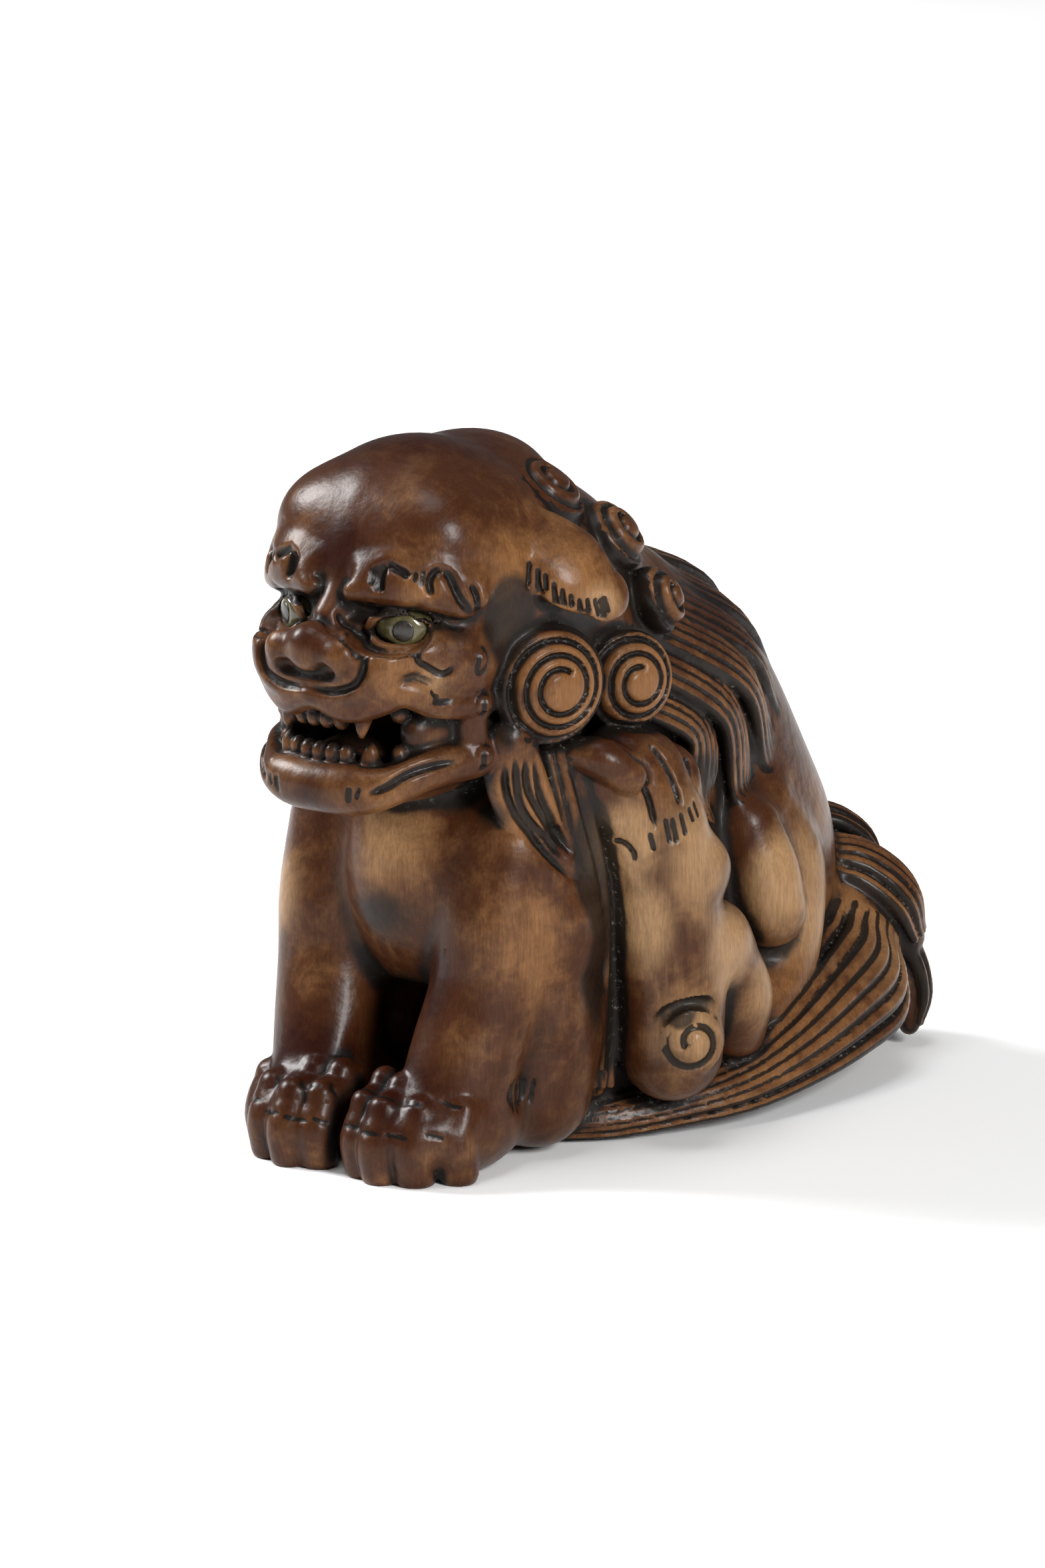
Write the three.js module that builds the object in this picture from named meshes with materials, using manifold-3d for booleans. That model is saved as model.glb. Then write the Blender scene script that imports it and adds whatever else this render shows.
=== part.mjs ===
// Boxwood netsuke: a seated guardian lion scratching its mane with a raised hind paw.
// Millimetres, +Z up. The lion looks along -Y, and its left side faces +X.
import * as THREE from 'three';
import { mergeVertices } from 'three/addons/utils/BufferGeometryUtils.js';
import Module from 'manifold-3d';

const wasm = await Module();
wasm.setup();
const { clamp, degToRad, lerp } = THREE.MathUtils;

// Driving sizes
const height = 35;               // underside to the top of the mane
const eyeLength = 3;             // horn inlay, corner to corner
const eyeHeight = 1.9;
const eyeDepth = 2.3;
const pupilDiameter = 1;         // dark inlay let into the horn
const pupilDepth = 0.9;
const inlayGap = 0.15;           // clearance round each inlay
const cordHoleWide = 3;          // the two cord holes under the belly
const cordHoleNarrow = 2.2;
const cordHoleSpacing = 7;
const cordHoleDepth = 4;         // where the two bores meet
const cordHolesBack = 6;         // from the origin to midway between them

// The carving's proportions are in shares: 35 shares make the height
const sharesTall = 35;
const share = height / sharesTall;
const surfaceCell = 0.4;        // lattice step of the carved surface, in shares
const carvedTriangles = 7700;    // what the carved surface is thinned to
const originBack = 1.4;          // the middle of the part lies this far behind the carving's zero
const originLeft = 0.6;

// How the strokes are worked out, in shares where they are lengths
const strokeMargin = 1;          // how far past its blend a stroke counts, at least half a block
const farAway = 50;              // the distance before any stroke is laid
const smallest = 1e-6;
const limbSteps = 5;             // steps to each span of a limb's curve
const lockSteps = 8;
const strandBlend = 0.06;
const thinnestStrand = 0.04;
const strandSpread = 0.9;        // how far out in the lock the outer strands lie
const coreShare = 0.72;          // the lock's core, against its full width
const curlBlend = 0.25;
const curlRim = 0.94;            // where a curl's groove runs out, as a share of its radius
const curlGrooveWidth = 0.34;
const curlGrooveDepth = 0.55;

const strokes = [];
let mirrored = false;

// A place or a direction given for the left side, turned over when the right side is carved
function sided(v) {
    return new THREE.Vector3(mirrored ? -v[0] : v[0], v[1], v[2]);
}

function addStroke(kind, bounds, blend, distance) {
    bounds.expandByScalar(2 * blend + strokeMargin);
    strokes.push({ kind, bounds, blend, distance });
}

// Near distance to an ellipsoid, from a place measured along its axes
function domed(x, y, z, radii) {
    const k0 = Math.hypot(x / radii.x, y / radii.y, z / radii.z);
    const k1 = Math.hypot(x / radii.x ** 2, y / radii.y ** 2, z / radii.z ** 2);
    return k0 * (k0 - 1) / Math.max(k1, smallest);
}

// An ellipsoid, turned about x, y and z by degrees
function ball(centre, radii, blend, { kind = 'add', turn = [0, 0, 0] } = {}) {
    const middle = sided(centre);
    const side = mirrored ? -1 : 1;
    const angles = [degToRad(turn[0]), degToRad(turn[1]) * side, degToRad(turn[2]) * side];
    const rotation = new THREE.Euler(...angles, 'ZYX');
    const back = new THREE.Matrix4().makeRotationFromEuler(rotation).invert();
    const size = new THREE.Vector3(...radii);
    const reach = new THREE.Vector3().setScalar(Math.max(...radii));
    const q = new THREE.Vector3();
    const bounds = new THREE.Box3(middle.clone().sub(reach), middle.clone().add(reach));
    addStroke(kind, bounds, blend, (p) => {
        q.copy(p).sub(middle).applyMatrix4(back);
        return domed(q.x, q.y, q.z, size);
    });
}

// Points [x, y, z, radius] joined by a Catmull-Rom curve
function smoothPath(points, steps) {
    const places = new THREE.CatmullRomCurve3(points.map((q) => sided(q)), false, 'catmullrom', 0.5);
    const count = (points.length - 1) * steps;
    const path = [];
    for (let i = 0; i <= count; i++) {
        const along = i / steps;
        const k = Math.min(Math.floor(along), points.length - 2);
        const radius = lerp(points[k][3], points[k + 1][3], along - k);
        path.push({ at: places.getPoint(i / count), radius });
    }
    return path;
}

// The nearest place on a chain of round cones, or with byMiddle on the line through their middles
function nearest(p, path, byMiddle = false) {
    let best = { away: Infinity };
    for (let i = 0; i < path.length - 1; i++) {
        const a = path[i].at;
        const b = path[i + 1].at;
        const sx = b.x - a.x;
        const sy = b.y - a.y;
        const sz = b.z - a.z;
        const px = p.x - a.x;
        const py = p.y - a.y;
        const pz = p.z - a.z;
        const t = clamp((px * sx + py * sy + pz * sz) / (sx * sx + sy * sy + sz * sz), 0, 1);
        const radius = path[i].radius + t * (path[i + 1].radius - path[i].radius);
        const off = Math.hypot(px - t * sx, py - t * sy, pz - t * sz);
        const away = byMiddle ? off : off - radius;
        if (away < best.away) best = { away, i, t, radius };
    }
    return best;
}

function pathBounds(path) {
    const bounds = new THREE.Box3();
    for (const { at, radius } of path) {
        bounds.union(new THREE.Box3(at.clone().subScalar(radius), at.clone().addScalar(radius)));
    }
    return bounds;
}

// A rounded limb of changing thickness
function limb(points, blend, { kind = 'add' } = {}) {
    const path = smoothPath(points, limbSteps);
    addStroke(kind, pathBounds(path), blend, (p) => nearest(p, path).away);
}

// The way a lock's broad side looks and the way across it, at each step of its path
function framesAlong(path, looks) {
    return path.map(({ at }, i) => {
        const along = i / (path.length - 1) * (looks.length - 1);
        const k = Math.min(Math.floor(along), looks.length - 2);
        const normal = sided(looks[k]).lerp(sided(looks[k + 1]), along - k);
        const before = path[Math.max(i - 1, 0)].at;
        const after = path[Math.min(i + 1, path.length - 1)].at;
        const tangent = after.clone().sub(before).normalize();
        normal.addScaledVector(tangent, -normal.dot(tangent)).normalize();
        return { normal, across: tangent.clone().cross(normal) };
    });
}

// A flattened lock of hair: a soft core, and round strands side by side on it that meet at its tip.
// facing is the way its broad side looks, one for the whole lock or one for each point
function lock(points, facing, { strands = 4, flat = 0.6, blend = 0.3, swell = 1.05, lift = 0.75 } = {}) {
    const path = smoothPath(points, lockSteps);
    const frames = framesAlong(path, Array.isArray(facing[0]) ? facing : [facing, facing]);
    const core = strands ? coreShare : 1;
    const rows = Array.from({ length: strands }, (_, k) => (k + 0.5) / strands * 2 - 1);
    const off = new THREE.Vector3();
    const normal = new THREE.Vector3();
    const across = new THREE.Vector3();
    addStroke('add', pathBounds(path), blend, (p) => {
        const { i, t, radius } = nearest(p, path, true);
        off.copy(path[i].at).lerp(path[i + 1].at, t).sub(p).negate();
        normal.copy(frames[i].normal).lerp(frames[i + 1].normal, t);
        across.copy(frames[i].across).lerp(frames[i + 1].across, t);
        const a = off.dot(across);
        const b = off.dot(normal);
        const ahead = Math.max(off.lengthSq() - a * a - b * b, 0);
        const soft = Math.sqrt(a * a + (b / flat) ** 2 + ahead) - radius * core;
        let distance = soft > 0 ? soft * 0.75 : soft * flat;
        for (const row of rows) {
            const out = a - radius * row * strandSpread;
            const up = b - radius * flat * lift * Math.sqrt(1 - row * row);
            const thick = Math.max(radius / strands * swell, thinnestStrand);
            const strand = Math.sqrt(out * out + up * up + ahead) - thick;
            distance = smoothMin(distance, strand, strandBlend);
        }
        return distance;
    });
}

// A domed snail curl: a round bulb in the middle with a spiral groove wound about it
function curl(centre, look, radius, rise, winding) {
    const { start = 0, sense = 1, turns = 2, bulb = 0.36, squash = 1, lean = 0 } = winding;
    const side = mirrored ? -1 : 1;
    const middle = sided(centre);
    const normal = sided(look).normalize();
    const level = new THREE.Vector3(0, 0, 1).cross(normal).normalize();
    const upright = normal.clone().cross(level);
    const tilt = degToRad(lean) * side;
    const x = level.clone().multiplyScalar(Math.cos(tilt)).addScaledVector(upright, Math.sin(tilt));
    const y = normal.clone().cross(x);
    const reach = new THREE.Vector3().setScalar(Math.max(radius, rise));
    const radii = new THREE.Vector3(radius * squash, radius, rise);
    const pitch = (curlRim - bulb) / turns;
    const off = new THREE.Vector3();
    const bounds = new THREE.Box3(middle.clone().sub(reach), middle.clone().add(reach));
    addStroke('add', bounds, curlBlend, (p) => {
        off.copy(p).sub(middle);
        const across = off.dot(x);
        const up = off.dot(y);
        const out = off.dot(normal);
        const rho = Math.hypot(across / squash, up) / radius;
        const turn = (Math.atan2(up, across / squash) * sense * side - degToRad(start)) / (2 * Math.PI);
        const ring = (rho - bulb) / pitch - (turn - Math.floor(turn));
        const aside = (ring - Math.max(Math.round(ring), 0)) * pitch * radius;
        const outside = clamp((ring + 1.02) * 8, 0, 1);
        const within = clamp((0.98 - rho) * 6, 0, 1);
        const front = clamp(out / rise * 4, 0, 1);
        const groove = curlGrooveDepth * Math.exp(-((aside / curlGrooveWidth) ** 2));
        return domed(across, up, out, radii) + groove * outside * within * front;
    });
}

function smoothMin(a, b, k) {
    const h = Math.max(k - Math.abs(a - b), 0) / k;
    return Math.min(a, b) - h * h * k * 0.25;
}

// Carves the other side, with a change from the left where the two differ
function mirrorOf(shape, change) {
    mirrored = true;
    shape(change);
    mirrored = false;
}

function both(shape) {
    shape();
    mirrorOf(shape);
}

// The body: chest, belly, loins and back, in rounded masses that run into each other
function trunk() {
    ball([0, -4.6, 14], [6, 9.2, 8.4], 2);
    ball([0, 8.4, 10.2], [8.4, 10.2, 10.2], 3);
    ball([0, 5.2, 17.8], [7.2, 9.4, 7.8], 3);
    ball([0, 0.6, 21.4], [6.8, 8.2, 7.4], 2);
    ball([0, 7, 4.4], [7.2, 8.6, 5.6], 1.5);
    limb([[3.6, -3.2, 2.4, 2.8], [3.9, -3.4, 9, 3.2], [4, -3.6, 16, 3.4]], 1);
    limb([[-3.6, -3.2, 2.4, 2.8], [-3.9, -3.4, 9, 3.2], [-4, -3.6, 16, 3.4]], 1);
    ball([5.6, 0.4, 9.4], [3, 5, 8.4], 1);
}

// A foreleg standing on its paw. out moves it away from the middle
function foreleg(out = 0) {
    limb([
        [4.4 + out, -9.6, 15.2, 3], [4.5 + out, -10.6, 12, 2.8], [4.4 + out, -11, 9, 2.7],
        [4 + out, -11.8, 6.2, 2.7], [3.4 + out, -12.8, 3.4, 2.7],
    ], 1);
    limb([
        [4.6 + out, -7.8, 14.6, 3.2], [5 + out, -7.8, 11.2, 3.3], [5 + out, -7.9, 9, 2.9],
        [4.9 + out, -7.4, 6.8, 3.1], [4.6 + out, -7.6, 3, 2.8],
    ], 1);
    ball([3.2 + out, -12.6, 2.2], [3.3, 4.6, 2.5], 0.8);
    for (const [place, size] of [
        [[7.1, -8.3, 11.8], [1.1, 1.3, 1.5]], [[6.9, -8.5, 7.5], [1.1, 1.3, 1.8]],
        [[5.3, -11, 13.7], [1, 0.9, 1.3]], [[5.1, -11.6, 8.6], [1, 1, 1.3]],
    ]) {
        ball([place[0] + out, place[1], place[2]], size, 0.6);
    }
}

function foretoes(out = 0) {
    for (const [x, y, r] of [
        [0.9, -16.5, 0.95], [2.3, -16.9, 1.02], [3.9, -16.3, 1.04], [5.3, -14.8, 1],
    ]) {
        const left = x + out;
        limb([
            [left * 0.95, y + 2.6, 3.9, 0.8], [left, y + 0.9, 3.2, r * 0.9],
            [left, y + 0.1, 1.9, r * 1.02], [left, y + 0.3, 0.6, r],
        ], 0.25);
        ball([left * 0.97, y + 2.1, 4.3], [r * 0.72, 0.75, 0.7], 0.2);
        ball([left, y + 0.55, 3.5], [r * 0.78, 0.75, 0.75], 0.2);
    }
}

function hollowUnderChest() {
    limb([
        [0, -15, 3.4, 1.6], [0, -11, 5.6, 2.2], [0, -7.5, 6.6, 2.4], [0, -4.6, 4, 1.6],
    ], 1, { kind: 'cut' });
}

// The head
function skull() {
    ball([0, -8.2, 27.2], [6.9, 7.3, 6.8], 2);
    ball([0, -11.1, 29.2], [6.2, 5.7, 5.4], 2);
    ball([0, -11.2, 31.6], [3.4, 3.6, 2.8], 1.5);
    ball([2.9, -13.3, 30.8], [2.7, 2.5, 2.5], 1.2);
    ball([-2.9, -13.3, 30.8], [2.7, 2.5, 2.5], 1.2);
}

function muzzle() {
    ball([0, -14.4, 25], [4.8, 4.2, 2.1], 1);
    ball([0, -16.2, 25.6], [3.4, 2.6, 1.8], 0.6);
    limb([[0, -16, 29, 0.9], [0, -16.7, 28.1, 0.8], [0, -17.4, 27.3, 0.8]], 0.5);
}

function muzzlePad() {
    limb([
        [4.2, -15.8, 25.9, 1], [3.3, -17.2, 25.7, 1.2], [2.7, -17.7, 24.8, 1.25],
        [1.5, -18.2, 24.1, 1], [0, -18.4, 24, 0.85],
    ], 0.4);
    ball([4.3, -13.4, 25.2], [2, 2.8, 2.4], 0.8);
    limb([[5, -13.3, 24, 0.9], [5, -13.2, 22, 0.85], [4.9, -13, 20.6, 0.9]], 0.4);
}

function nose() {
    ball([0, -18.8, 26.1], [1.2, 1.15, 1.2], 0.3);
    ball([1.65, -18.5, 25.8], [1.05, 1.15, 1.1], 0.55);
    ball([-1.65, -18.5, 25.8], [1.05, 1.15, 1.1], 0.55);
}

function nostril() {
    ball([1.2, -19.6, 25.1], [0.55, 0.8, 0.42], 0.2, { kind: 'cut' });
}

function upperLip() {
    limb([
        [0, -18.4, 23.9, 0.6], [1, -18.3, 23.45, 0.72], [1.9, -18, 23.2, 0.72],
        [2.9, -17.5, 23.6, 0.75], [3.9, -16.7, 24.1, 0.8], [4.7, -15.4, 23.4, 0.8],
        [5.2, -14, 23.2, 0.75], [5.2, -12.6, 23.1, 0.8],
    ], 0.3);
}

function jaw() {
    limb([
        [5, -10.8, 20.6, 1.1], [4.9, -12.9, 20.4, 1.05], [4.3, -15.4, 20.2, 1],
        [3.2, -17.1, 19.55, 1.05], [1.9, -17.6, 19.3, 1.3], [0, -17.8, 19.25, 1.3],
        [-1.9, -17.6, 19.3, 1.3], [-3.2, -17.1, 19.55, 1.05], [-4.3, -15.4, 20.2, 1],
        [-4.9, -12.9, 20.4, 1.05], [-5, -10.8, 20.6, 1.1],
    ], 0.4);
    ball([0, -13.6, 19.2], [4.2, 4.6, 1.3], 0.6);
    ball([0, -10.4, 21.6], [5.3, 3.6, 3.4], 0.8);
}

function mouthHollow() {
    ball([0, -15.4, 21.7], [3, 3.6, 1], 0.3, { kind: 'cut' });
    ball([0, -15, 20.3], [2, 2.8, 1], 0.3);
}

function mouthSide() {
    limb([
        [0, -18.7, 21.75, 0.7], [1.5, -18.5, 21.6, 0.9], [3, -17.4, 21.6, 1.15], [4.3, -16, 22, 0.85],
        [5.5, -14.5, 22, 0.45],
    ], 0.12, { kind: 'cut' });
    limb([[2.9, -16.2, 22.7, 0.6], [3.9, -15.9, 23, 0.45]], 0.3, { kind: 'cut' });
    ball([3.6, -14.1, 21.8], [1.1, 2.2, 1.5], 0.3);
}

function teeth() {
    for (const x of [-2.7, -1.95, -1.2, -0.45, 0.3, 1.05]) {
        ball([x, -17.95 + 0.09 * x * x, 22.6], [0.4, 0.5, 0.55], 0.08);
    }
    for (const x of [-2.5, -1.75, -1, -0.25, 0.5, 1.25]) {
        ball([x, -17.85 + 0.1 * x * x, 20.85], [0.39, 0.45, 0.55], 0.08);
    }
}

function fangs() {
    limb([[2.15, -17.6, 22.9, 0.5], [2.2, -17.8, 22.2, 0.28], [2.2, -17.8, 21.8, 0.1]], 0.1);
    limb([[2.3, -17.3, 20.4, 0.55], [2.4, -17.4, 21, 0.4], [2.4, -17.4, 21.4, 0.18]], 0.1);
    ball([3.3, -16.3, 20.9], [0.4, 0.5, 0.5], 0.1);
    ball([3.8, -15.3, 21.2], [0.4, 0.45, 0.45], 0.1);
    ball([3.2, -16.2, 22.9], [0.45, 0.5, 0.55], 0.1);
}

function eyeHollow() {
    ball([3.4, -17.3, 26.9], [2, 1.6, 1.1], 0.3, { kind: 'cut', turn: [0, 0, 29] });
    ball([1.5, -18.1, 27.6], [0.75, 1.3, 0.6], 0.3, { kind: 'cut', turn: [0, -25, 0] });
}

function brow() {
    limb([
        [1.3, -17.1, 28.6, 0.6], [2.1, -16.4, 28.8, 0.95], [3.5, -15.7, 28.75, 1.05],
        [4.6, -15, 28.5, 0.95], [5.5, -14.3, 28.1, 0.75], [6.1, -13.9, 28.2, 0.4],
    ], 0.2);
    limb([
        [1.6, -16.3, 29.5, 0.8], [3, -15.9, 29.7, 0.9], [4.5, -14.9, 29.4, 0.9],
        [5.7, -13.6, 28.8, 0.7],
    ], 0.6);
}

function eyelids() {
    limb([
        [1.85, -16.9, 26.8, 0.22], [2.4, -16.85, 27.5, 0.28], [3.2, -16.35, 27.7, 0.28],
        [4, -15.7, 27.4, 0.26], [4.5, -15.2, 26.85, 0.26],
    ], 0.12);
    limb([
        [1.85, -16.9, 26.8, 0.22], [2.5, -16.95, 26.15, 0.3], [3.3, -16.45, 25.9, 0.34],
        [4.1, -15.7, 26.15, 0.3], [4.5, -15.2, 26.85, 0.26],
    ], 0.12);
    limb([[4.75, -15.1, 27.3, 0.22], [5.05, -14.8, 26.5, 0.3], [4.6, -15.3, 25.75, 0.25]], 0.12);
}

function cheekBeads() {
    ball([6, -13.9, 25.4], [0.5, 0.5, 0.55], 0.12);
    ball([6, -13.5, 23.2], [0.5, 0.5, 0.5], 0.12);
    ball([5.8, -13.2, 20.6], [0.55, 0.55, 0.55], 0.12);
}

// The mane, its curls, the ears and the hair
function mane() {
    ball([0, -4.2, 25], [6.9, 7.4, 7.4], 1.5);
    ball([0, -6.2, 32.2], [3.6, 3.2, 2.3], 1);
}

function curls() {
    curl([7, -9.6, 23.6], [0.9, -0.42, 0], 2.9, 1.5, { start: 55, turns: 1.2, bulb: 0.22 });
    curl([7.7, -4.3, 23], [0.93, -0.35, 0.05], 2.4, 1.4, { start: 75, turns: 1.1, bulb: 0.22 });
    curl([
        6.9, -0.9, 26.2,
    ], [0.85, 0.3, 0.35], 1.8, 1.3, { start: 60, turns: 1, bulb: 0.25, squash: 0.75, lean: 25 });
    curl([5.4, -2.4, 29.4], [0.7, 0.3, 0.65], 1.9, 1.2, { start: 60, turns: 1, bulb: 0.25 });
    curl([4, -6, 32], [0.55, 0.2, 0.8], 2.2, 1.1, { start: 60, turns: 1, bulb: 0.25 });
}

function ear() {
    lock([
        [4.7, -9.9, 30.9, 1.5], [6, -9.3, 30.1, 2], [7.5, -8.4, 28.9, 2.1], [8.5, -7.4, 27.8, 1.4],
    ], [0.75, -0.45, 0.6], { strands: 0, flat: 0.5, blend: 0.2 });
}

function beardLock() {
    lock([
        [6, -11.4, 20.6, 1.2], [6.4, -10.9, 18.2, 1.45], [6.7, -10.1, 16.6, 1.25], [7, -9, 14.9, 0.75],
        [7.2, -7.6, 13.2, 0.2],
    ], [0.75, -0.65, 0.1], { strands: 2, flat: 0.65, blend: 0.15, lift: 0.85 });
}

function flankHair() {
    lock([
        [6.3, -8.6, 20, 1.3], [6.8, -8.2, 17, 1.5], [7, -7, 13.5, 1.3], [6.8, -6.2, 9.5, 1.1],
        [6.4, -5.6, 4, 0.8],
    ], [0.8, -0.6, 0], { strands: 2, flat: 0.55 });
    lock([
        [6.6, -6.2, 19.4, 1.2], [6.9, -5.6, 15, 1.3], [6.6, -5, 9, 1.2], [6.2, -4.8, 3, 1],
    ], [0.8, -0.6, 0], { strands: 2, flat: 0.5 });
}

function backHair() {
    for (const [angle, y0, z0, y1, z1, r] of [
        [4, 5.6, 27.4, 14.6, 19.4, 1.5], [22, 5.8, 26.8, 15, 16.6, 1.7],
        [42, 4.4, 26, 12.6, 15.6, 1.7], [60, 2.8, 25, 9.8, 14.8, 1.7], [76, 1, 24, 6.6, 14, 1.6],
        [90, -0.8, 22.4, 3.2, 14.6, 1.4],
    ]) {
        const s = Math.sin(degToRad(angle));
        const c = Math.cos(degToRad(angle));
        const middle = [s * 7.5, (y0 + y1) / 2 - 0.2, (z0 + z1) / 2 + 1.3];
        lock([
            [s * 6.4, y0 - 4.6, z0 + 0.6, r * 0.9], [...middle, r],
            [s * 7.7, y1 - 1.6, z1 + 1.4, r * 0.62], [s * 7.6, y1 - 0.2, z1, 0.15],
        ], [s, c * 0.8, 0.6], { strands: 2, flat: 0.42, blend: 0.2 });
    }
}

// The left hind leg, raised to scratch the mane
function raisedLeg() {
    limb([
        [9, -2.4, 4.4, 2.3], [9, -2.6, 8, 2.6], [8.8, -3, 12.5, 2.75], [8.4, -3.6, 16, 2.8],
        [8, -4.4, 18.2, 2.4],
    ], 0.8);
    ball([9.6, -0.4, 10.2], [1.8, 2, 2], 1);
    limb([[9, 2.4, 7.8, 1.8], [9.1, 2.9, 5.8, 1.8], [8.8, 3.2, 4.4, 1.4]], 0.6);
    limb([[7.6, 5.6, 14.4, 1.7], [8.2, 6.3, 11.8, 1.8], [8.7, 6.8, 9.4, 1.7]], 0.5);
    limb([[6.8, 7.6, 14.2, 1.8], [6.9, 9.4, 11, 2.3], [7.1, 8.6, 6.6, 2.2], [7.6, 6.4, 4.6, 1.8]], 0.7);
    ball([7.6, -5.6, 18.6], [1.6, 2.2, 2.6], 0.6);
}

function raisedToes() {
    for (const [x, y, z] of [[8.3, -7.1, 19.3], [8.9, -5.2, 19.1], [9, -2.9, 18.5], [8.9, -1, 17.9]]) {
        limb([
            [x + 0.15, y, z - 0.9, 0.95], [x - 0.4, y, z + 0.3, 1], [x - 1.8, y, z + 0.8, 0.8],
        ], 0.12);
    }
}

function heelCurl() {
    curl([
        10.75, -3.3, 5.5,
    ], [0.8, -0.6, 0.1], 1.5, 0.95, { start: 200, sense: -1, turns: 1, bulb: 0.42 });
    limb([200, 150, 100, 50, 0].map((a) => [
        11.1 + 1.03 * Math.cos(degToRad(a)), -3.57 + 1.38 * Math.cos(degToRad(a)),
        5.5 + 1.72 * Math.sin(degToRad(a)), 0.36,
    ]), 0.15, { kind: 'cut' });
}

function hollowByKnee() {
    limb([[9.8, 1.6, 14.4, 0.9], [9.6, 2.6, 12.2, 0.8], [9.8, 2.9, 10.8, 0.4]], 0.5, { kind: 'cut' });
}

// The right hind leg lies folded along the foot
function rightHind() {
    ball([-6.4, 7.4, 8], [3.8, 6.6, 6.8], 1.2);
    limb([[-8, 6, 2.6, 2.4], [-7.8, 0, 2.2, 2.1], [-5, -4.6, 2, 1.9], [-1.8, -8.6, 2, 1.6]], 0.8);
}

// The tail, curled up round the back
function tail() {
    ball([3.6, 16.2, 5.4], [5.2, 3.8, 5.2], 0.8);
    lock([
        [1.4, 16.6, 9.6, 1.5], [2.6, 18.2, 10.6, 1.9], [4, 19.6, 10, 1.6], [5, 20.4, 8.8, 0.8],
    ], [0.4, 0.6, 0.8], { strands: 2, flat: 0.85 });
    lock([
        [4.4, 15.4, 9.8, 1.4], [5.8, 16.9, 9.2, 2.1], [7.2, 18.3, 7.6, 2.2], [8, 19.2, 5.8, 1.2],
    ], [0.8, 0.3, 0.6], { strands: 3, flat: 0.9 });
    lock([
        [5.8, 18.2, 6.4, 1.6], [6.8, 19.4, 4.6, 1.9], [7.6, 19.8, 2.8, 1.5], [7.8, 19.6, 1.2, 0.9],
    ], [0.7, 0.7, 0], { strands: 2, flat: 0.85 });
    lock([
        [2, 19, 7.8, 1.6], [2.8, 20.3, 5.4, 2], [3.8, 20.3, 3, 1.7], [4.4, 20, 1.2, 1],
    ], [0.1, 1, 0.2], { strands: 2, flat: 0.85 });
    lock([
        [-0.8, 17.2, 9.2, 1.5], [-1.2, 18.6, 6.6, 1.9], [-0.6, 18.8, 3.8, 1.7], [0.4, 18.6, 1.6, 1],
    ], [-0.3, 1, 0.2], { strands: 2, flat: 0.85 });
}

function tailLock() {
    lock([
        [7, 15.6, 6.2, 2.6], [8.2, 13.4, 4.6, 3.5], [9, 10, 3.6, 3.1], [9.4, 6, 2.5, 2.3],
        [9.2, 2.4, 1.7, 1.7], [8, -1, 1.3, 1.3], [6.2, -4, 1, 1.1], [4, -6.4, 0.9, 0.9],
    ], [
        [0.75, 0.2, 0.6], [0.8, 0.1, 0.6], [0.8, 0, 0.6], [0.8, 0, 0.6], [0.8, -0.2, 0.6],
        [0.7, -0.5, 0.5], [0.7, -0.6, 0.4], [0.7, -0.6, 0.4],
    ], { strands: 3, flat: 0.85 });
}

trunk();
foreleg();
mirrorOf(foreleg, 0.5);
hollowUnderChest();
foretoes();
mirrorOf(foretoes, 0.9);
skull();
mane();
muzzle();
both(muzzlePad);
both(upperLip);
jaw();
mouthHollow();
both(mouthSide);
teeth();
both(fangs);
nose();
both(nostril);
both(brow);
both(eyeHollow);
both(eyelids);
both(cheekBeads);
both(backHair);
raisedLeg();
hollowByKnee();
raisedToes();
heelCurl();
rightHind();
tailLock();
tail();
both(flankHair);
both(curls);
both(ear);
both(beardLock);

// How far a point lies outside the carving, less than nothing inside it
function carving(p, near) {
    let distance = farAway;
    for (const stroke of near) {
        if (!stroke.bounds.containsPoint(p)) continue;
        const d = stroke.distance(p);
        if (stroke.kind === 'add') distance = smoothMin(distance, d, stroke.blend);
        else distance = -smoothMin(-distance, d, stroke.blend);
    }
    return distance;
}

// Distances on a lattice, worked out finely only in the blocks that the surface passes
function sampleLattice(low, high, cell) {
    const blockSize = 4;
    const blockReach = 1.9 * blockSize * cell;    // a block whose middle lies further off holds no surface
    const blocks = new THREE.Vector3().subVectors(high, low).divideScalar(cell * blockSize).ceil();
    const size = blocks.clone().multiplyScalar(blockSize);
    const values = new Float32Array(size.x * size.y * size.z);
    const corner = new THREE.Vector3();
    const p = new THREE.Vector3();
    const block = new THREE.Box3();
    for (let bx = 0; bx < blocks.x; bx++) {
        for (let by = 0; by < blocks.y; by++) {
            for (let bz = 0; bz < blocks.z; bz++) {
                corner.set(bx, by, bz).multiplyScalar(blockSize * cell).add(low);
                block.min.copy(corner);
                block.max.copy(corner).addScalar(blockSize * cell);
                const near = strokes.filter((stroke) => stroke.bounds.intersectsBox(block));
                const middle = carving(block.getCenter(p), near);
                const far = Math.abs(middle) > blockReach;
                for (let i = 0; i < blockSize; i++) {
                    for (let j = 0; j < blockSize; j++) {
                        for (let k = 0; k < blockSize; k++) {
                            p.set(i, j, k).multiplyScalar(cell).add(corner);
                            const x = bx * blockSize + i;
                            const y = by * blockSize + j;
                            const z = bz * blockSize + k;
                            values[(x * size.y + y) * size.z + z] = far ? middle : carving(p, near);
                        }
                    }
                }
            }
        }
    }
    return { low, cell, size, values };
}

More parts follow.
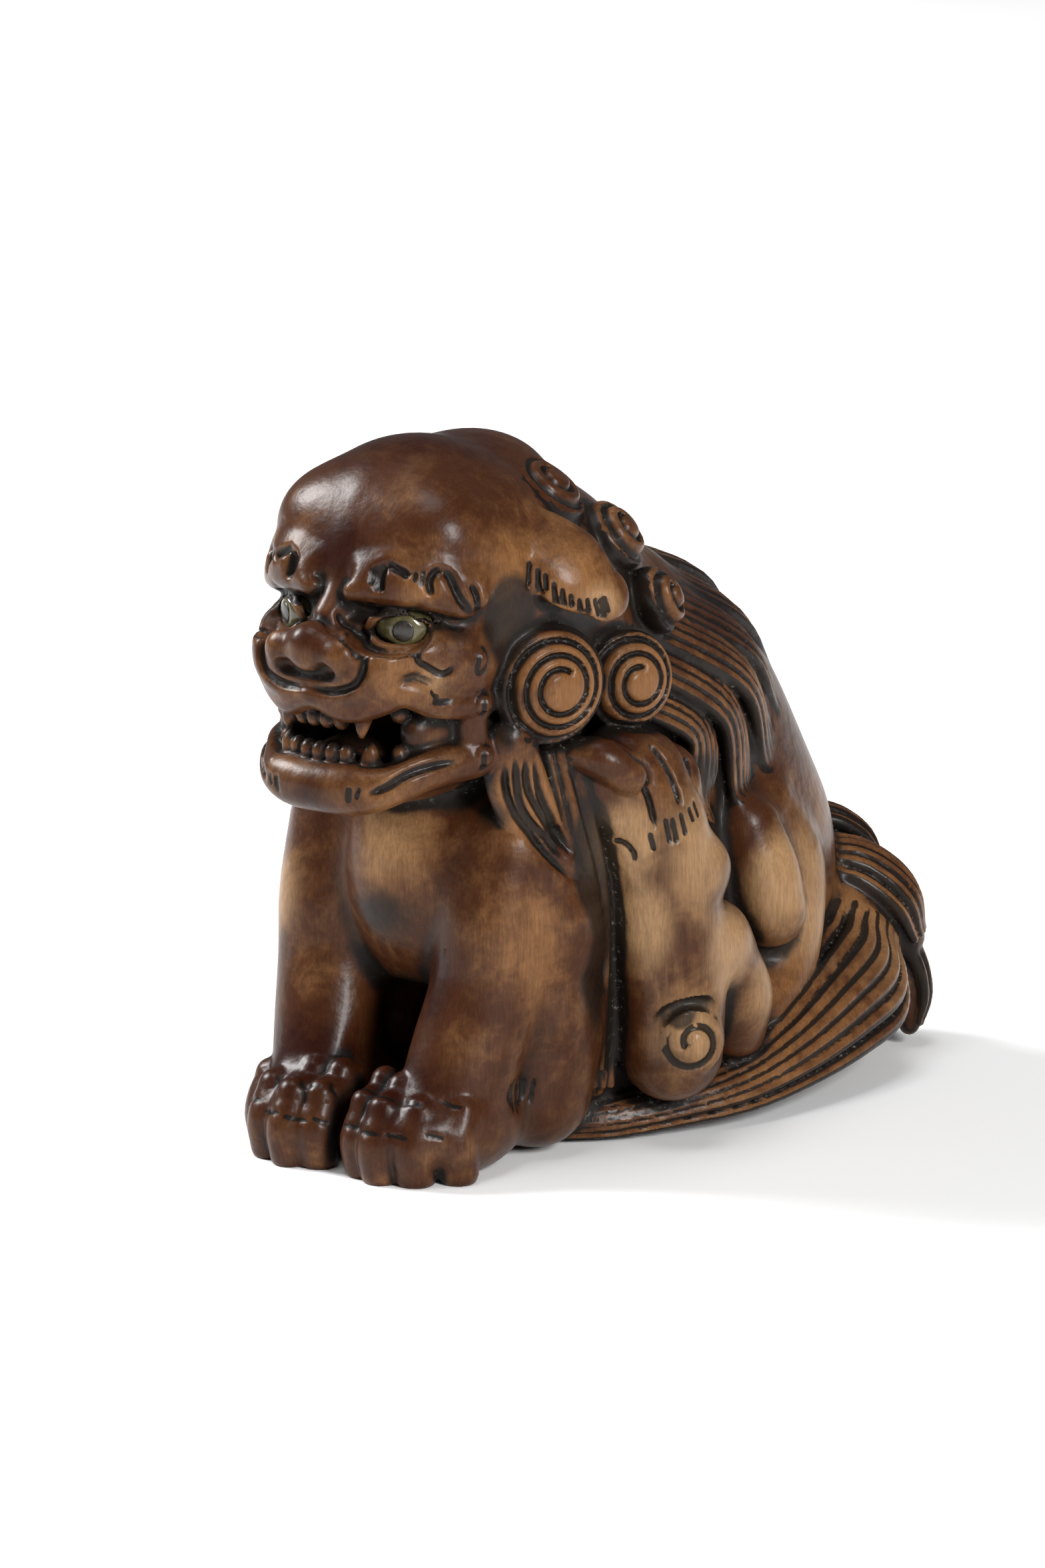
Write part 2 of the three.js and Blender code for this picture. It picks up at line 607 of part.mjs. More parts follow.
// The zero surface of a lattice: each cube is cut into six tetrahedra about its long diagonal
function surfaceOf({ low, cell, size, values }) {
    const step = [size.y * size.z, size.z, 1];
    const axisOrders = [[0, 1, 2], [0, 2, 1], [1, 0, 2], [1, 2, 0], [2, 0, 1], [2, 1, 0]];
    const opposite = step[0] + step[1] + step[2];
    const tetrahedra = axisOrders.map(([a, b]) => [0, step[a], step[a] + step[b], opposite]);
    const keepOff = 0.12;    // no corner comes nearer to a lattice point, so no triangle is a sliver
    const nearSurface = 3 * cell;
    const points = [];
    const triangles = [];
    const known = new Map();
    const place = (n) => [Math.floor(n / step[0]), Math.floor(n / step[1]) % size.y, n % size.z];
    const crossing = (a, b) => {
        const key = Math.min(a, b) * values.length + Math.max(a, b);
        if (!known.has(key)) {
            const t = clamp(values[a] / (values[a] - values[b]), keepOff, 1 - keepOff);
            const from = place(a);
            const to = place(b);
            known.set(key, points.length / 3);
            for (const axis of [0, 1, 2]) {
                points.push(low.getComponent(axis) + cell * (from[axis] + t * (to[axis] - from[axis])));
            }
        }
        return known.get(key);
    };
    const addTriangle = (a, b, c, inner, outer) => {
        const p = [a, b, c].map((n) => new THREE.Vector3().fromArray(points, 3 * n));
        const normal = p[1].clone().sub(p[0]).cross(p[2].clone().sub(p[0]));
        const from = place(inner);
        const to = place(outer);
        const outward = new THREE.Vector3(to[0] - from[0], to[1] - from[1], to[2] - from[2]);
        if (normal.dot(outward) > 0) triangles.push(a, b, c);
        else triangles.push(a, c, b);
    };
    for (let x = 0; x < size.x - 1; x++) {
        for (let y = 0; y < size.y - 1; y++) {
            for (let z = 0; z < size.z - 1; z++) {
                const base = (x * size.y + y) * size.z + z;
                if (Math.abs(values[base]) > nearSurface) continue;
                for (const tetrahedron of tetrahedra) {
                    const inner = tetrahedron.map((n) => n + base).filter((n) => values[n] < 0);
                    const outer = tetrahedron.map((n) => n + base).filter((n) => values[n] >= 0);
                    if (inner.length === 1) {
                        const [a, b, c] = outer.map((n) => crossing(inner[0], n));
                        addTriangle(a, b, c, inner[0], outer[0]);
                    } else if (inner.length === 3) {
                        const [a, b, c] = inner.map((n) => crossing(n, outer[0]));
                        addTriangle(a, b, c, inner[0], outer[0]);
                    } else if (inner.length === 2) {
                        const a = crossing(inner[0], outer[0]);
                        const b = crossing(inner[0], outer[1]);
                        const c = crossing(inner[1], outer[1]);
                        const d = crossing(inner[1], outer[0]);
                        addTriangle(a, b, c, inner[0], outer[0]);
                        addTriangle(a, c, d, inner[0], outer[0]);
                    }
                }
            }
        }
    }
    return { points, triangles };
}

// The largest connected sheet of the surface, without pockets that are closed in by the wood
function outerSheet({ points, triangles }) {
    const root = Array.from({ length: points.length / 3 }, (_, i) => i);
    const find = (v) => {
        while (root[v] !== v) {
            root[v] = root[root[v]];
            v = root[v];
        }
        return v;
    };
    for (let f = 0; f < triangles.length; f += 3) {
        root[find(triangles[f])] = find(triangles[f + 1]);
        root[find(triangles[f])] = find(triangles[f + 2]);
    }
    const sizes = new Map();
    for (const v of triangles) {
        const sheet = find(v);
        sizes.set(sheet, (sizes.get(sheet) ?? 0) + 1);
    }
    const largest = [...sizes].sort((a, b) => b[1] - a[1])[0][0];
    const kept = triangles.filter((_, i) => find(triangles[i - i % 3]) === largest);
    return { points, triangles: kept };
}

// Thins a closed surface by closing up its least needed edges, by squared distance to the planes they carry
function thinned({ points, triangles }, wanted) {
    const holdStill = 1e-3;      // pull towards the edge's middle, against its planes
    const shortFirst = 1e-5;
    const leastTurn = 0.3;       // cosine of the most a triangle may turn
    const eachRound = 1 / 3;     // share of the edges looked at before they are sorted again
    const count = points.length / 3;
    const at = Array.from({ length: count }, (_, i) => new THREE.Vector3().fromArray(points, 3 * i));
    const planes = new Float64Array(count * 10);
    let faces = triangles;
    const normalOf = (a, b, c) => b.clone().sub(a).cross(c.clone().sub(a));
    for (let f = 0; f < faces.length; f += 3) {
        const [a, b, c] = [faces[f], faces[f + 1], faces[f + 2]];
        const n = normalOf(at[a], at[b], at[c]);
        const area = n.length() / 2;
        n.normalize();
        const d = -n.dot(at[a]);
        const terms = [
            n.x * n.x, n.x * n.y, n.x * n.z, n.x * d, n.y * n.y,
            n.y * n.z, n.y * d, n.z * n.z, n.z * d, d * d,
        ];
        for (const v of [a, b, c]) {
            for (let k = 0; k < 10; k++) planes[10 * v + k] += terms[k] * area;
        }
    }
    const q = new Float64Array(10);
    const cost = (p) => {
        const { x, y, z } = p;
        return q[0] * x * x + 2 * q[1] * x * y + 2 * q[2] * x * z + 2 * q[3] * x + q[4] * y * y
            + 2 * q[5] * y * z + 2 * q[6] * y + q[7] * z * z + 2 * q[8] * z + q[9];
    };
    const matrix = new THREE.Matrix3();
    const closing = (a, b) => {
        for (let k = 0; k < 10; k++) q[k] = planes[10 * a + k] + planes[10 * b + k];
        const middle = at[a].clone().lerp(at[b], 0.5);
        const hold = holdStill * (q[0] + q[4] + q[7]);
        matrix.set(q[0] + hold, q[1], q[2], q[1], q[4] + hold, q[5], q[2], q[5], q[7] + hold);
        const to = new THREE.Vector3(hold * middle.x - q[3], hold * middle.y - q[6], hold * middle.z - q[8]);
        to.applyMatrix3(matrix.invert());
        if (to.distanceTo(middle) > 2 * at[a].distanceTo(at[b])) to.copy(middle);
        return { a, b, to, cost: cost(to) + shortFirst * at[a].distanceToSquared(at[b]) };
    };
    while (faces.length / 3 > wanted) {
        const around = Array.from({ length: count }, () => []);
        for (let f = 0; f < faces.length; f += 3) {
            for (const k of [0, 1, 2]) around[faces[f + k]].push(f);
        }
        const edges = [];
        for (let f = 0; f < faces.length; f += 3) {
            for (const k of [0, 1, 2]) {
                const a = faces[f + k];
                const b = faces[f + (k + 1) % 3];
                if (a < b) edges.push(closing(a, b));
            }
        }
        edges.sort((e, g) => e.cost - g.cost);
        const touched = new Uint8Array(count);
        const gone = new Uint8Array(faces.length);
        let left = faces.length / 3;
        const neighbours = (v) => new Set(around[v].flatMap((f) => [faces[f], faces[f + 1], faces[f + 2]]));
        for (const { a, b, to } of edges.slice(0, Math.ceil(edges.length * eachRound))) {
            if (left <= wanted) break;
            if (touched[a] || touched[b]) continue;
            const nearA = neighbours(a);
            const nearB = neighbours(b);
            const shared = [...nearA].filter((v) => nearB.has(v) && v !== a && v !== b);
            if (shared.length !== 2) continue;
            const turnsOver = [...around[a], ...around[b]].some((f) => {
                const corners = [faces[f], faces[f + 1], faces[f + 2]];
                if (corners.includes(a) && corners.includes(b)) return false;
                const before = normalOf(...corners.map((v) => at[v])).normalize();
                const after = normalOf(...corners.map((v) => (v === a || v === b ? to : at[v]))).normalize();
                return before.dot(after) < leastTurn;
            });
            if (turnsOver) continue;
            for (const f of around[b]) {
                const corners = [faces[f], faces[f + 1], faces[f + 2]];
                if (corners.includes(a)) gone[f] = 1;
                else faces[f + corners.indexOf(b)] = a;
            }
            at[a].copy(to);
            for (let k = 0; k < 10; k++) planes[10 * a + k] += planes[10 * b + k];
            for (const v of nearA) touched[v] = 1;
            for (const v of nearB) touched[v] = 1;
            left -= 2;
        }
        const kept = faces.filter((_, i) => !gone[i - i % 3]);
        if (kept.length === faces.length) break;
        faces = kept;
    }
    return { points: at, triangles: faces };
}

function geometryOf(points, triangles) {
    const used = new Map();
    const flat = [];
    const index = Array.from(triangles, (v) => {
        if (!used.has(v)) {
            used.set(v, used.size);
            flat.push(points[v].x, points[v].y, points[v].z);
        }
        return used.get(v);
    });
    const geometry = new THREE.BufferGeometry();
    geometry.setAttribute('position', new THREE.Float32BufferAttribute(flat, 3));
    geometry.setIndex(index);
    return geometry;
}

function solidOf(geometry) {
    const index = geometry.index.array;
    const vertProperties = new Float32Array(geometry.attributes.position.array);
    return new wasm.Manifold(new wasm.Mesh({ numProp: 3, vertProperties, triVerts: new Uint32Array(index) }));
}

// A three.js shape with its shared vertices merged, made a solid
function solidFrom(geometry) {
    geometry.deleteAttribute('normal');
    geometry.deleteAttribute('uv');
    return solidOf(mergeVertices(geometry));
}

function geometryFrom(solid) {
    const mesh = solid.getMesh();
    const geometry = new THREE.BufferGeometry();
    geometry.setAttribute('position', new THREE.BufferAttribute(mesh.vertProperties, 3));
    geometry.setIndex(new THREE.BufferAttribute(mesh.triVerts, 1));
    return geometry;
}

// The carved wood, at its real size and with its middle over the origin
function carvedWood() {
    const low = new THREE.Vector3(-13, -22, -2.5);
    const high = new THREE.Vector3(14, 25, 37);
    const surface = outerSheet(surfaceOf(sampleLattice(low, high, surfaceCell)));
    const { points, triangles } = thinned(surface, carvedTriangles);
    return geometryOf(points, triangles).translate(-originLeft, -originBack, 0).scale(share, share, share);
}

// The foot is cut off flat where the carving stands
function belowFoot() {
    const slab = new THREE.BoxGeometry(3 * height, 3 * height, height);
    return solidFrom(slab.translate(0, 0, -height / 2));
}

const eyeAt = new THREE.Vector3(3, -15.4, 26.85);   // in shares, on the lion's left
const eyeTurn = degToRad(29.5);

// A horn inlay, or with a margin the socket it sits in. side is 1 on the lion's left and -1 on its right
function inEye(side, forward) {
    const place = new THREE.Vector3(side * eyeAt.x - originLeft, eyeAt.y - originBack, eyeAt.z);
    const look = new THREE.Vector3(side * Math.sin(eyeTurn), -Math.cos(eyeTurn), 0);
    return place.multiplyScalar(share).addScaledVector(look, forward);
}

function eyeBall(side, margin) {
    const ball = new THREE.SphereGeometry(1, 16, 10);
    ball.scale(eyeLength / 2 + margin, eyeDepth / 2 + margin, eyeHeight / 2 + margin);
    ball.rotateZ(side * eyeTurn).translate(...inEye(side, 0));
    return solidFrom(ball);
}

// The dark pupil, a short round peg that ends flush with the front of the horn
function pupilPeg(side, margin) {
    const radius = pupilDiameter / 2 + margin;
    const peg = new THREE.CylinderGeometry(radius, radius, pupilDepth + 2 * margin, 16);
    peg.rotateZ(side * eyeTurn);
    peg.translate(...inEye(side, eyeDepth / 2 - pupilDepth / 2));
    return solidFrom(peg);
}

// One bore of the cord channel. The two slant towards each other and meet above the belly
function cordBore(diameter, side) {
    const slant = Math.atan2(cordHoleSpacing / 2, cordHoleDepth);
    const length = Math.hypot(cordHoleSpacing / 2, cordHoleDepth) + diameter / 2;
    const bore = new THREE.CylinderGeometry(diameter / 2, diameter / 2, 2 * length, 20);
    bore.rotateX(Math.PI / 2 + side * slant);
    bore.translate(0, cordHolesBack + side * cordHoleSpacing / 2, 0);
    return solidFrom(bore);
}

const finishes = {
    boxwood: new THREE.MeshStandardMaterial({ color: 0x8a5a33, roughness: 0.38, metalness: 0 }),
    horn: new THREE.MeshStandardMaterial({ color: 0x6b6848, roughness: 0.2, metalness: 0 }),
    pupil: new THREE.MeshStandardMaterial({ color: 0x201a16, roughness: 0.25, metalness: 0 }),
};

const netsuke = new THREE.Group();

function addPiece(name, solid, finish) {
    const piece = new THREE.Mesh(geometryFrom(solid), finishes[finish]);
    piece.name = name;
    netsuke.add(piece);
}

let wood = solidOf(carvedWood()).subtract(belowFoot());
wood = wood.subtract(cordBore(cordHoleWide, 1)).subtract(cordBore(cordHoleNarrow, -1));
for (const [name, side] of [['left', 1], ['right', -1]]) {
    wood = wood.subtract(eyeBall(side, inlayGap));
    addPiece(`eye_${name}`, eyeBall(side, 0).subtract(pupilPeg(side, inlayGap)), 'horn');
    addPiece(`pupil_${name}`, pupilPeg(side, 0), 'pupil');
}
addPiece('body', wood, 'boxwood');

export default netsuke;
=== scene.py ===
# A seated guardian lion carved in boxwood, a netsuke 35 mm tall. Metres, +Z up, the lion looks along -Y
import bpy
import bmesh
import numpy as np
from mathutils import Matrix, Vector


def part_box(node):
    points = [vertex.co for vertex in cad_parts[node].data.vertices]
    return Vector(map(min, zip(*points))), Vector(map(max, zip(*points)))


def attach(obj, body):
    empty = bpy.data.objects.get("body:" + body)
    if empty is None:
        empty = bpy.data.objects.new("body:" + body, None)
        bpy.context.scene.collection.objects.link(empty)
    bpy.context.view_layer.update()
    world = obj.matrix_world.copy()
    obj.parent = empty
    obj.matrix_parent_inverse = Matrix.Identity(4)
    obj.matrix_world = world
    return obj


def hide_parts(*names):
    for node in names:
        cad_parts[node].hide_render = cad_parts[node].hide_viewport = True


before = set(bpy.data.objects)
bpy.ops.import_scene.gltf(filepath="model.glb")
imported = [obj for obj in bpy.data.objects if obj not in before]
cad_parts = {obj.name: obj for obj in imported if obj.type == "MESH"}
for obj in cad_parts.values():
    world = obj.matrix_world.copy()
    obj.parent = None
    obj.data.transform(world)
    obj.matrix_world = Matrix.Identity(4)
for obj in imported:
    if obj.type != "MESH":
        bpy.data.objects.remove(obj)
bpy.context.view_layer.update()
mm = 0.001
lowBody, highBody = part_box("body")

# The carving is worked out in shares of the height, as its maker's sketch is
carvingSizes = {
    "sharesTall": 35.0,       # shares from the foot to the top of the mane
    "tall": 0.035,            # metres
    "originLeft": 0.6,        # the part's origin, in shares from the sketch's zero
    "originBack": 1.4,
    "cell": 0.12,             # step of the lattice that the surface is read from
    "coarser": 1.5,
    "farOff": 50.0,           # distance before any stroke
    "room": 0.3,              # room round a stroke's box
    "most": 190000,           # triangles left after thinning
    "around": 1.5,            # room round the body's box, in shares
    "under": 0.00002,         # metres that the lion may pass its box at the foot, in front and on its right
    "over": 0.0004,           # and at the top, behind and on its left
}
share = carvingSizes["tall"]/carvingSizes["sharesTall"]
sketchOrigin = np.array([carvingSizes["originLeft"], carvingSizes["originBack"], 0.0])

# The carving is a list of strokes. Each has a box, a signed distance and a way of joining the rest
strokes = []
side = {"mirrored": False}

def sided(points):
    # places and directions are given for the lion's left, and turned over for its right
    p = np.array(points, float)
    if side["mirrored"]:
        p[..., 0] *= -1
    return p

def addStroke(kind, low, high, blend, distance, inkAndShade=None):
    margin = 2*blend + carvingSizes["room"]
    strokes.append({"kind": kind, "low": low - margin, "high": high + margin, "blend": blend,
                    "distance": distance, "inkAndShade": inkAndShade})

def smoothMin(a, b, k):
    h = np.maximum(k - np.abs(a - b), 0)/k
    return np.minimum(a, b) - h*h*k*0.25

def turned(angles):
    # a rotation about x, then y, then z, in degrees
    a, b, c = np.radians(angles)
    x = np.array([[1, 0, 0], [0, np.cos(a), -np.sin(a)], [0, np.sin(a), np.cos(a)]])
    y = np.array([[np.cos(b), 0, np.sin(b)], [0, 1, 0], [-np.sin(b), 0, np.cos(b)]])
    z = np.array([[np.cos(c), -np.sin(c), 0], [np.sin(c), np.cos(c), 0], [0, 0, 1]])
    return z @ y @ x

def domed(q, radii):
    # near distance to an ellipsoid: |q/r| (|q/r| - 1) / |q/r^2|
    k0 = np.linalg.norm(q/radii, axis=1)
    k1 = np.linalg.norm(q/radii**2, axis=1)
    return k0*(k0 - 1)/np.maximum(k1, 1e-6)

def ball(centre, radii, blend, kind="add", turn=(0, 0, 0)):
    c = sided(centre)
    radii = np.array(radii, float)
    flip = -1 if side["mirrored"] else 1
    basis = turned([turn[0], turn[1]*flip, turn[2]*flip])
    reach = np.sqrt(((basis*radii)**2).sum(1))
    addStroke(kind, c - reach, c + reach, blend, lambda p: domed((p - c) @ basis, radii))

def smoothPath(points, steps=5):
    # Catmull-Rom through the points, any number of columns
    p = np.asarray(points, float)
    e = np.vstack([2*p[0] - p[1], p, 2*p[-1] - p[-2]])
    t = np.linspace(0, 1, steps, endpoint=False)[:, None]
    spans = []
    for a, b, c, d in zip(e, e[1:], e[2:], e[3:]):
        spans.append(0.5*(2*b + (c - a)*t + (2*a - 5*b + 4*c - d)*t**2 + (3*b - a - 3*c + d)*t**3))
    return np.vstack(spans + [p[-1:]])

def nearest(p, path, byMiddle=False):
    # the closest place on a chain of round cones, or on its middle line: its distance, span, share of the
    # span, offset and radius
    a = path[:-1, :3]
    ab = path[1:, :3] - a
    ap = p[:, None, :] - a
    t = np.clip((ap*ab).sum(2)/np.maximum((ab**2).sum(1), 1e-9), 0, 1)
    off = ap - t[..., None]*ab
    radius = path[:-1, 3] + t*(path[1:, 3] - path[:-1, 3])
    away = np.sqrt((off**2).sum(2))
    d = away - radius
    i = (away if byMiddle else d).argmin(1)
    n = np.arange(len(p))
    return d[n, i], i, t[n, i], off[n, i], radius[n, i]

def pathBox(path):
    r = path[:, 3:4]
    return (path[:, :3] - r).min(0), (path[:, :3] + r).max(0)

def limb(points, blend, kind="add"):
    path = smoothPath(sided(points))
    path[:, 3] = np.maximum(path[:, 3], 0.02)
    addStroke(kind, *pathBox(path), blend, lambda p: nearest(p, path)[0])

def framesAlong(path, facing):
    tangent = np.gradient(path[:, :3], axis=0)
    tangent /= np.linalg.norm(tangent, axis=1)[:, None]
    normal = facing - tangent*(facing*tangent).sum(1)[:, None]
    normal /= np.linalg.norm(normal, axis=1)[:, None]
    return normal, np.cross(tangent, normal)

lockSizes = {
    "core": 0.72,             # the soft core's radius, as a share of the lock's
    "spread": 0.9,            # how far out the strands lie
    "swell": 1.05,            # a strand's radius against its share of the width
    "lift": 0.75,             # how high the strands stand on the core
    "least": 0.04,            # the thinnest strand
    "join": 0.06,             # how softly strands meet
    "inkedAndShaded": 0.25,            # how near the surface the ink lies
}

def lock(points, facing, strands=4, flat=0.6, blend=0.3):
    # a flattened lock of hair: a soft core, and round strands that lie side by side on it and meet at its
    # tip. Each point is measured across the lock's own section, at the nearest place on its middle line
    points = sided(points)
    path = smoothPath(points, 8)
    path[:, 3] = np.maximum(path[:, 3], 0.05)
    looks = sided(facing)
    if looks.ndim == 1:
        looks = np.repeat(looks[None], len(points), 0)
    normal, across = framesAlong(path, smoothPath(looks, 8))
    coreShare = lockSizes["core"] if strands else 1
    rows = (np.arange(strands) + 0.5)/max(strands, 1)*2 - 1
    def section(p):
        _, i, t, off, radius = nearest(p, path, True)
        t = t[:, None]
        a = (off*(across[i]*(1 - t) + across[i + 1]*t)).sum(1)
        b = (off*(normal[i]*(1 - t) + normal[i + 1]*t)).sum(1)
        return a, b, np.maximum((off**2).sum(1) - a*a - b*b, 0), radius
    def distance(p):
        a, b, ahead, radius = section(p)
        d = np.sqrt(a*a + (b/flat)**2 + ahead) - radius*coreShare
        d = np.where(d > 0, d*0.75, d*flat)
        for u in rows:
            high = flat*lockSizes["lift"]*np.sqrt(1 - u*u)
            thick = np.maximum(radius/strands*lockSizes["swell"], lockSizes["least"])
            strand = np.sqrt((a - radius*u*lockSizes["spread"])**2 + (b - radius*high)**2 + ahead) - thick
            d = smoothMin(d, strand, lockSizes["join"])
        return d
    def inkAndShade(p):
        # dark between the strands and along the lock's edges: a cosine, cubed, at its top where they meet
        a, b, _, radius = section(p)
        u = a/(radius*lockSizes["spread"])
        between = (0.5 + 0.5*np.cos(np.pi*(u + 1)*strands))**3
        return np.maximum(between, np.abs(u) > 1)*(np.abs(distance(p)) < lockSizes["inkedAndShaded"])*(radius > 0.2)
    addStroke("add", *pathBox(path), blend, distance, inkAndShade if strands else None)

curlSizes = {
    "wound": 0.94,            # how far out the spiral is wound, as a share of the radius
    "edge": 1.02,             # where the groove has faded out
    "blend": 0.25,            # how softly a curl joins the rest
    "inkedAndShaded": 0.25,            # how near the surface the ink lies
}

def curl(centre, look, radius, rise, start, sense=1, turns=2.0, bulb=0.25, squash=1.0, lean=0.0,
         width=0.15, depth=0.36, rim=0.95):
    # a domed snail curl: a round bulb in the middle with a spiral groove wound about it, and ink outside
    # its rim
    c = sided(centre)
    n = sided(look)
    n = n/np.linalg.norm(n)
    flip = -1 if side["mirrored"] else 1
    level = np.cross([0, 0, 1], n)
    level = level/np.linalg.norm(level)
    tilt = np.radians(lean)*flip
    x = level*np.cos(tilt) + np.cross(n, level)*np.sin(tilt)
    basis = np.stack([x, np.cross(n, x), n], 1)
    radii = np.array([radius*squash, radius, rise])
    reach = np.sqrt(((basis*radii)**2).sum(1))
    pitch = (curlSizes["wound"] - bulb)/turns
    def inGroove(q):
        # 1 on the spiral line, fading to both sides as a bell curve
        rho = np.hypot(q[:, 0]/squash, q[:, 1])/radius
        turn = (np.arctan2(q[:, 1], q[:, 0]/squash)*sense*flip - np.radians(start))/(2*np.pi)
        ring = (rho - bulb)/pitch - (turn - np.floor(turn))
        off = (ring - np.maximum(np.round(ring), 0))*pitch*radius
        edge = curlSizes["edge"]
        inside = np.clip((ring + edge)*8, 0, 1)*np.clip((edge - rho)*10, 0, 1)*np.clip(q[:, 2]/rise*4, 0, 1)
        return inside*np.exp(-(off/width)**2)
    def distance(p):
        q = (p - c) @ basis
        return domed(q, radii) + depth*inGroove(q)
    def inkAndShade(p):
        q = (p - c) @ basis
        edge = np.hypot(q[:, 0]/squash, q[:, 1])/radius > rim
        return np.maximum(inGroove(q), edge)*(np.abs(distance(p)) < curlSizes["inkedAndShaded"])
    addStroke("add", c - reach, c + reach, curlSizes["blend"], distance, inkAndShade)

def carving(p):
    # how far each point lies outside the carving, less than nothing inside it
    d = np.full(len(p), carvingSizes["farOff"])
    low, high = p.min(0), p.max(0)
    for stroke in strokes:
        if (stroke["low"] > high).any() or (stroke["high"] < low).any():
            continue
        m = ((p > stroke["low"]) & (p < stroke["high"])).all(1)
        if not m.any():
            continue
        v = stroke["distance"](p[m])
        if stroke["kind"] == "add":
            d[m] = smoothMin(d[m], v, stroke["blend"])
        elif stroke["kind"] == "cut":
            d[m] = -smoothMin(-d[m], v, stroke["blend"])
        else:
            d[m] = d[m] + v
    return d

def inkOf(p):
    # the ink that each stroke holds, at places on the surface
    most = np.zeros(len(p))
    for stroke in strokes:
        if stroke["inkAndShade"] is None:
            continue
        m = ((p > stroke["low"]) & (p < stroke["high"])).all(1)
        if m.any():
            most[m] = np.maximum(most[m], stroke["inkAndShade"](p[m]))
    return most

def slope(p, step=0.05):
    g = np.stack([carving(p + step*e) - carving(p - step*e) for e in np.eye(3)], 1)
    return g/np.maximum(np.linalg.norm(g, axis=1), 1e-6)[:, None]

def laid(points):
    # moves points onto the surface carved so far, and gives the way the surface faces there
    p = sided(points)[:, :3]
    for _ in range(5):
        p = p - slope(p)*carving(p)[:, None]
    return p, slope(p)

grooveSizes = {
    "ends": 6,                # one over the share of the length that a cut fades out in
    "reach": 0.9,             # how far above and below the surface a cut still acts
    "inkWider": 1.2,          # the ink's width against the cut's
    "box": 2.2,               # the box round a cut, in widths
}

def groove(points, width, depth):
    # a cut laid on the surface, a bell curve across: deepest on the line, fading out at both ends
    place, facing = laid(smoothPath(points, 4))
    path = np.column_stack([place, np.full(len(place), 1.0)])
    spans = len(path) - 1
    def bell(p, wide):
        _, i, t, off, _ = nearest(p, path)
        t = t[:, None]
        high = (off*(facing[i]*(1 - t) + facing[i + 1]*t)).sum(1)
        aside = np.maximum((off**2).sum(1) - high**2, 0)
        along = (i + t[:, 0])/spans
        fade = np.clip(np.minimum(along, 1 - along)*grooveSizes["ends"], 0, 1)
        return fade*np.exp(-aside/wide**2)*np.exp(-(high/grooveSizes["reach"])**4)
    reach = grooveSizes["box"]*width + depth
    addStroke("press", place.min(0) - reach, place.max(0) + reach, 0.0,
              lambda p: depth*bell(p, width), lambda p: bell(p, width*grooveSizes["inkWider"]))

def hatch(line, stroke, count, width, depth):
    # short cuts side by side along a line, turning from the first way to the last, a little uneven in
    # length
    starts = smoothPath(line, 12)
    starts = starts[np.linspace(0, len(starts) - 1, count).astype(int)]
    strokesAlong = np.linspace(0, 1, count)[:, None]*(np.array(stroke[-1], float) - stroke[0]) + stroke[0]
    for k, start in enumerate(starts):
        reach = strokesAlong[k]*(1 + 0.25*np.sin(2.4*k))
        groove([start, start + reach*0.5, start + reach], width, depth)

def mirrored(shape, *change):
    side["mirrored"] = True
    shape(*change)
    side["mirrored"] = False

def both(shape):
    # carves one side, then the other
    shape()
    mirrored(shape)

def grid(low, high, cell, coarse=4):
    # distances on a lattice, worked out finely only in the blocks that the surface passes, and a cube of
    # blocks at a time
    chunk, together = 8, 4
    low = np.asarray(low, float)
    n = np.ceil((np.asarray(high) - low)/cell/coarse).astype(int)
    big = cell*coarse
    axes = [low[k] + (np.arange(n[k]) + 0.5)*big - 0.5*cell for k in range(3)]
    centres = np.stack(np.meshgrid(*axes, indexing="ij"), -1).reshape(-1, 3)
    rough = np.empty(len(centres))
    numbers = np.arange(len(centres)).reshape(n)
    for i in range(0, n[0], chunk):
        for j in range(0, n[1], chunk):
            for k in range(0, n[2], chunk):
                some = numbers[i:i+chunk, j:j+chunk, k:k+chunk].ravel()
                rough[some] = carving(centres[some])
    near = np.flatnonzero(np.abs(rough) < big*1.9)
    full = rough.reshape(n).astype(np.float32)
    full = full.repeat(coarse, 0).repeat(coarse, 1).repeat(coarse, 2)
    inner = (np.arange(coarse) - (coarse - 1)/2)*cell
    offsets = np.stack(np.meshgrid(inner, inner, inner, indexing="ij"), -1).reshape(-1, 3)
    blocks = full.reshape(n[0], coarse, n[1], coarse, n[2], coarse).transpose(0, 2, 4, 1, 3, 5)
    where = np.stack(np.unravel_index(near, n), 1)
    group = (where//together) @ np.array([1 << 20, 1 << 10, 1])
    order = np.argsort(group, kind="stable")
    near, where, group = near[order], where[order], group[order]
    for some in np.split(np.arange(len(near)), np.flatnonzero(np.diff(group)) + 1):
        p = (centres[near[some]][:, None, :] + offsets).reshape(-1, 3)
        blocks[tuple(where[some].T)] = carving(p).reshape(len(some), coarse, coarse, coarse)
    return full, low

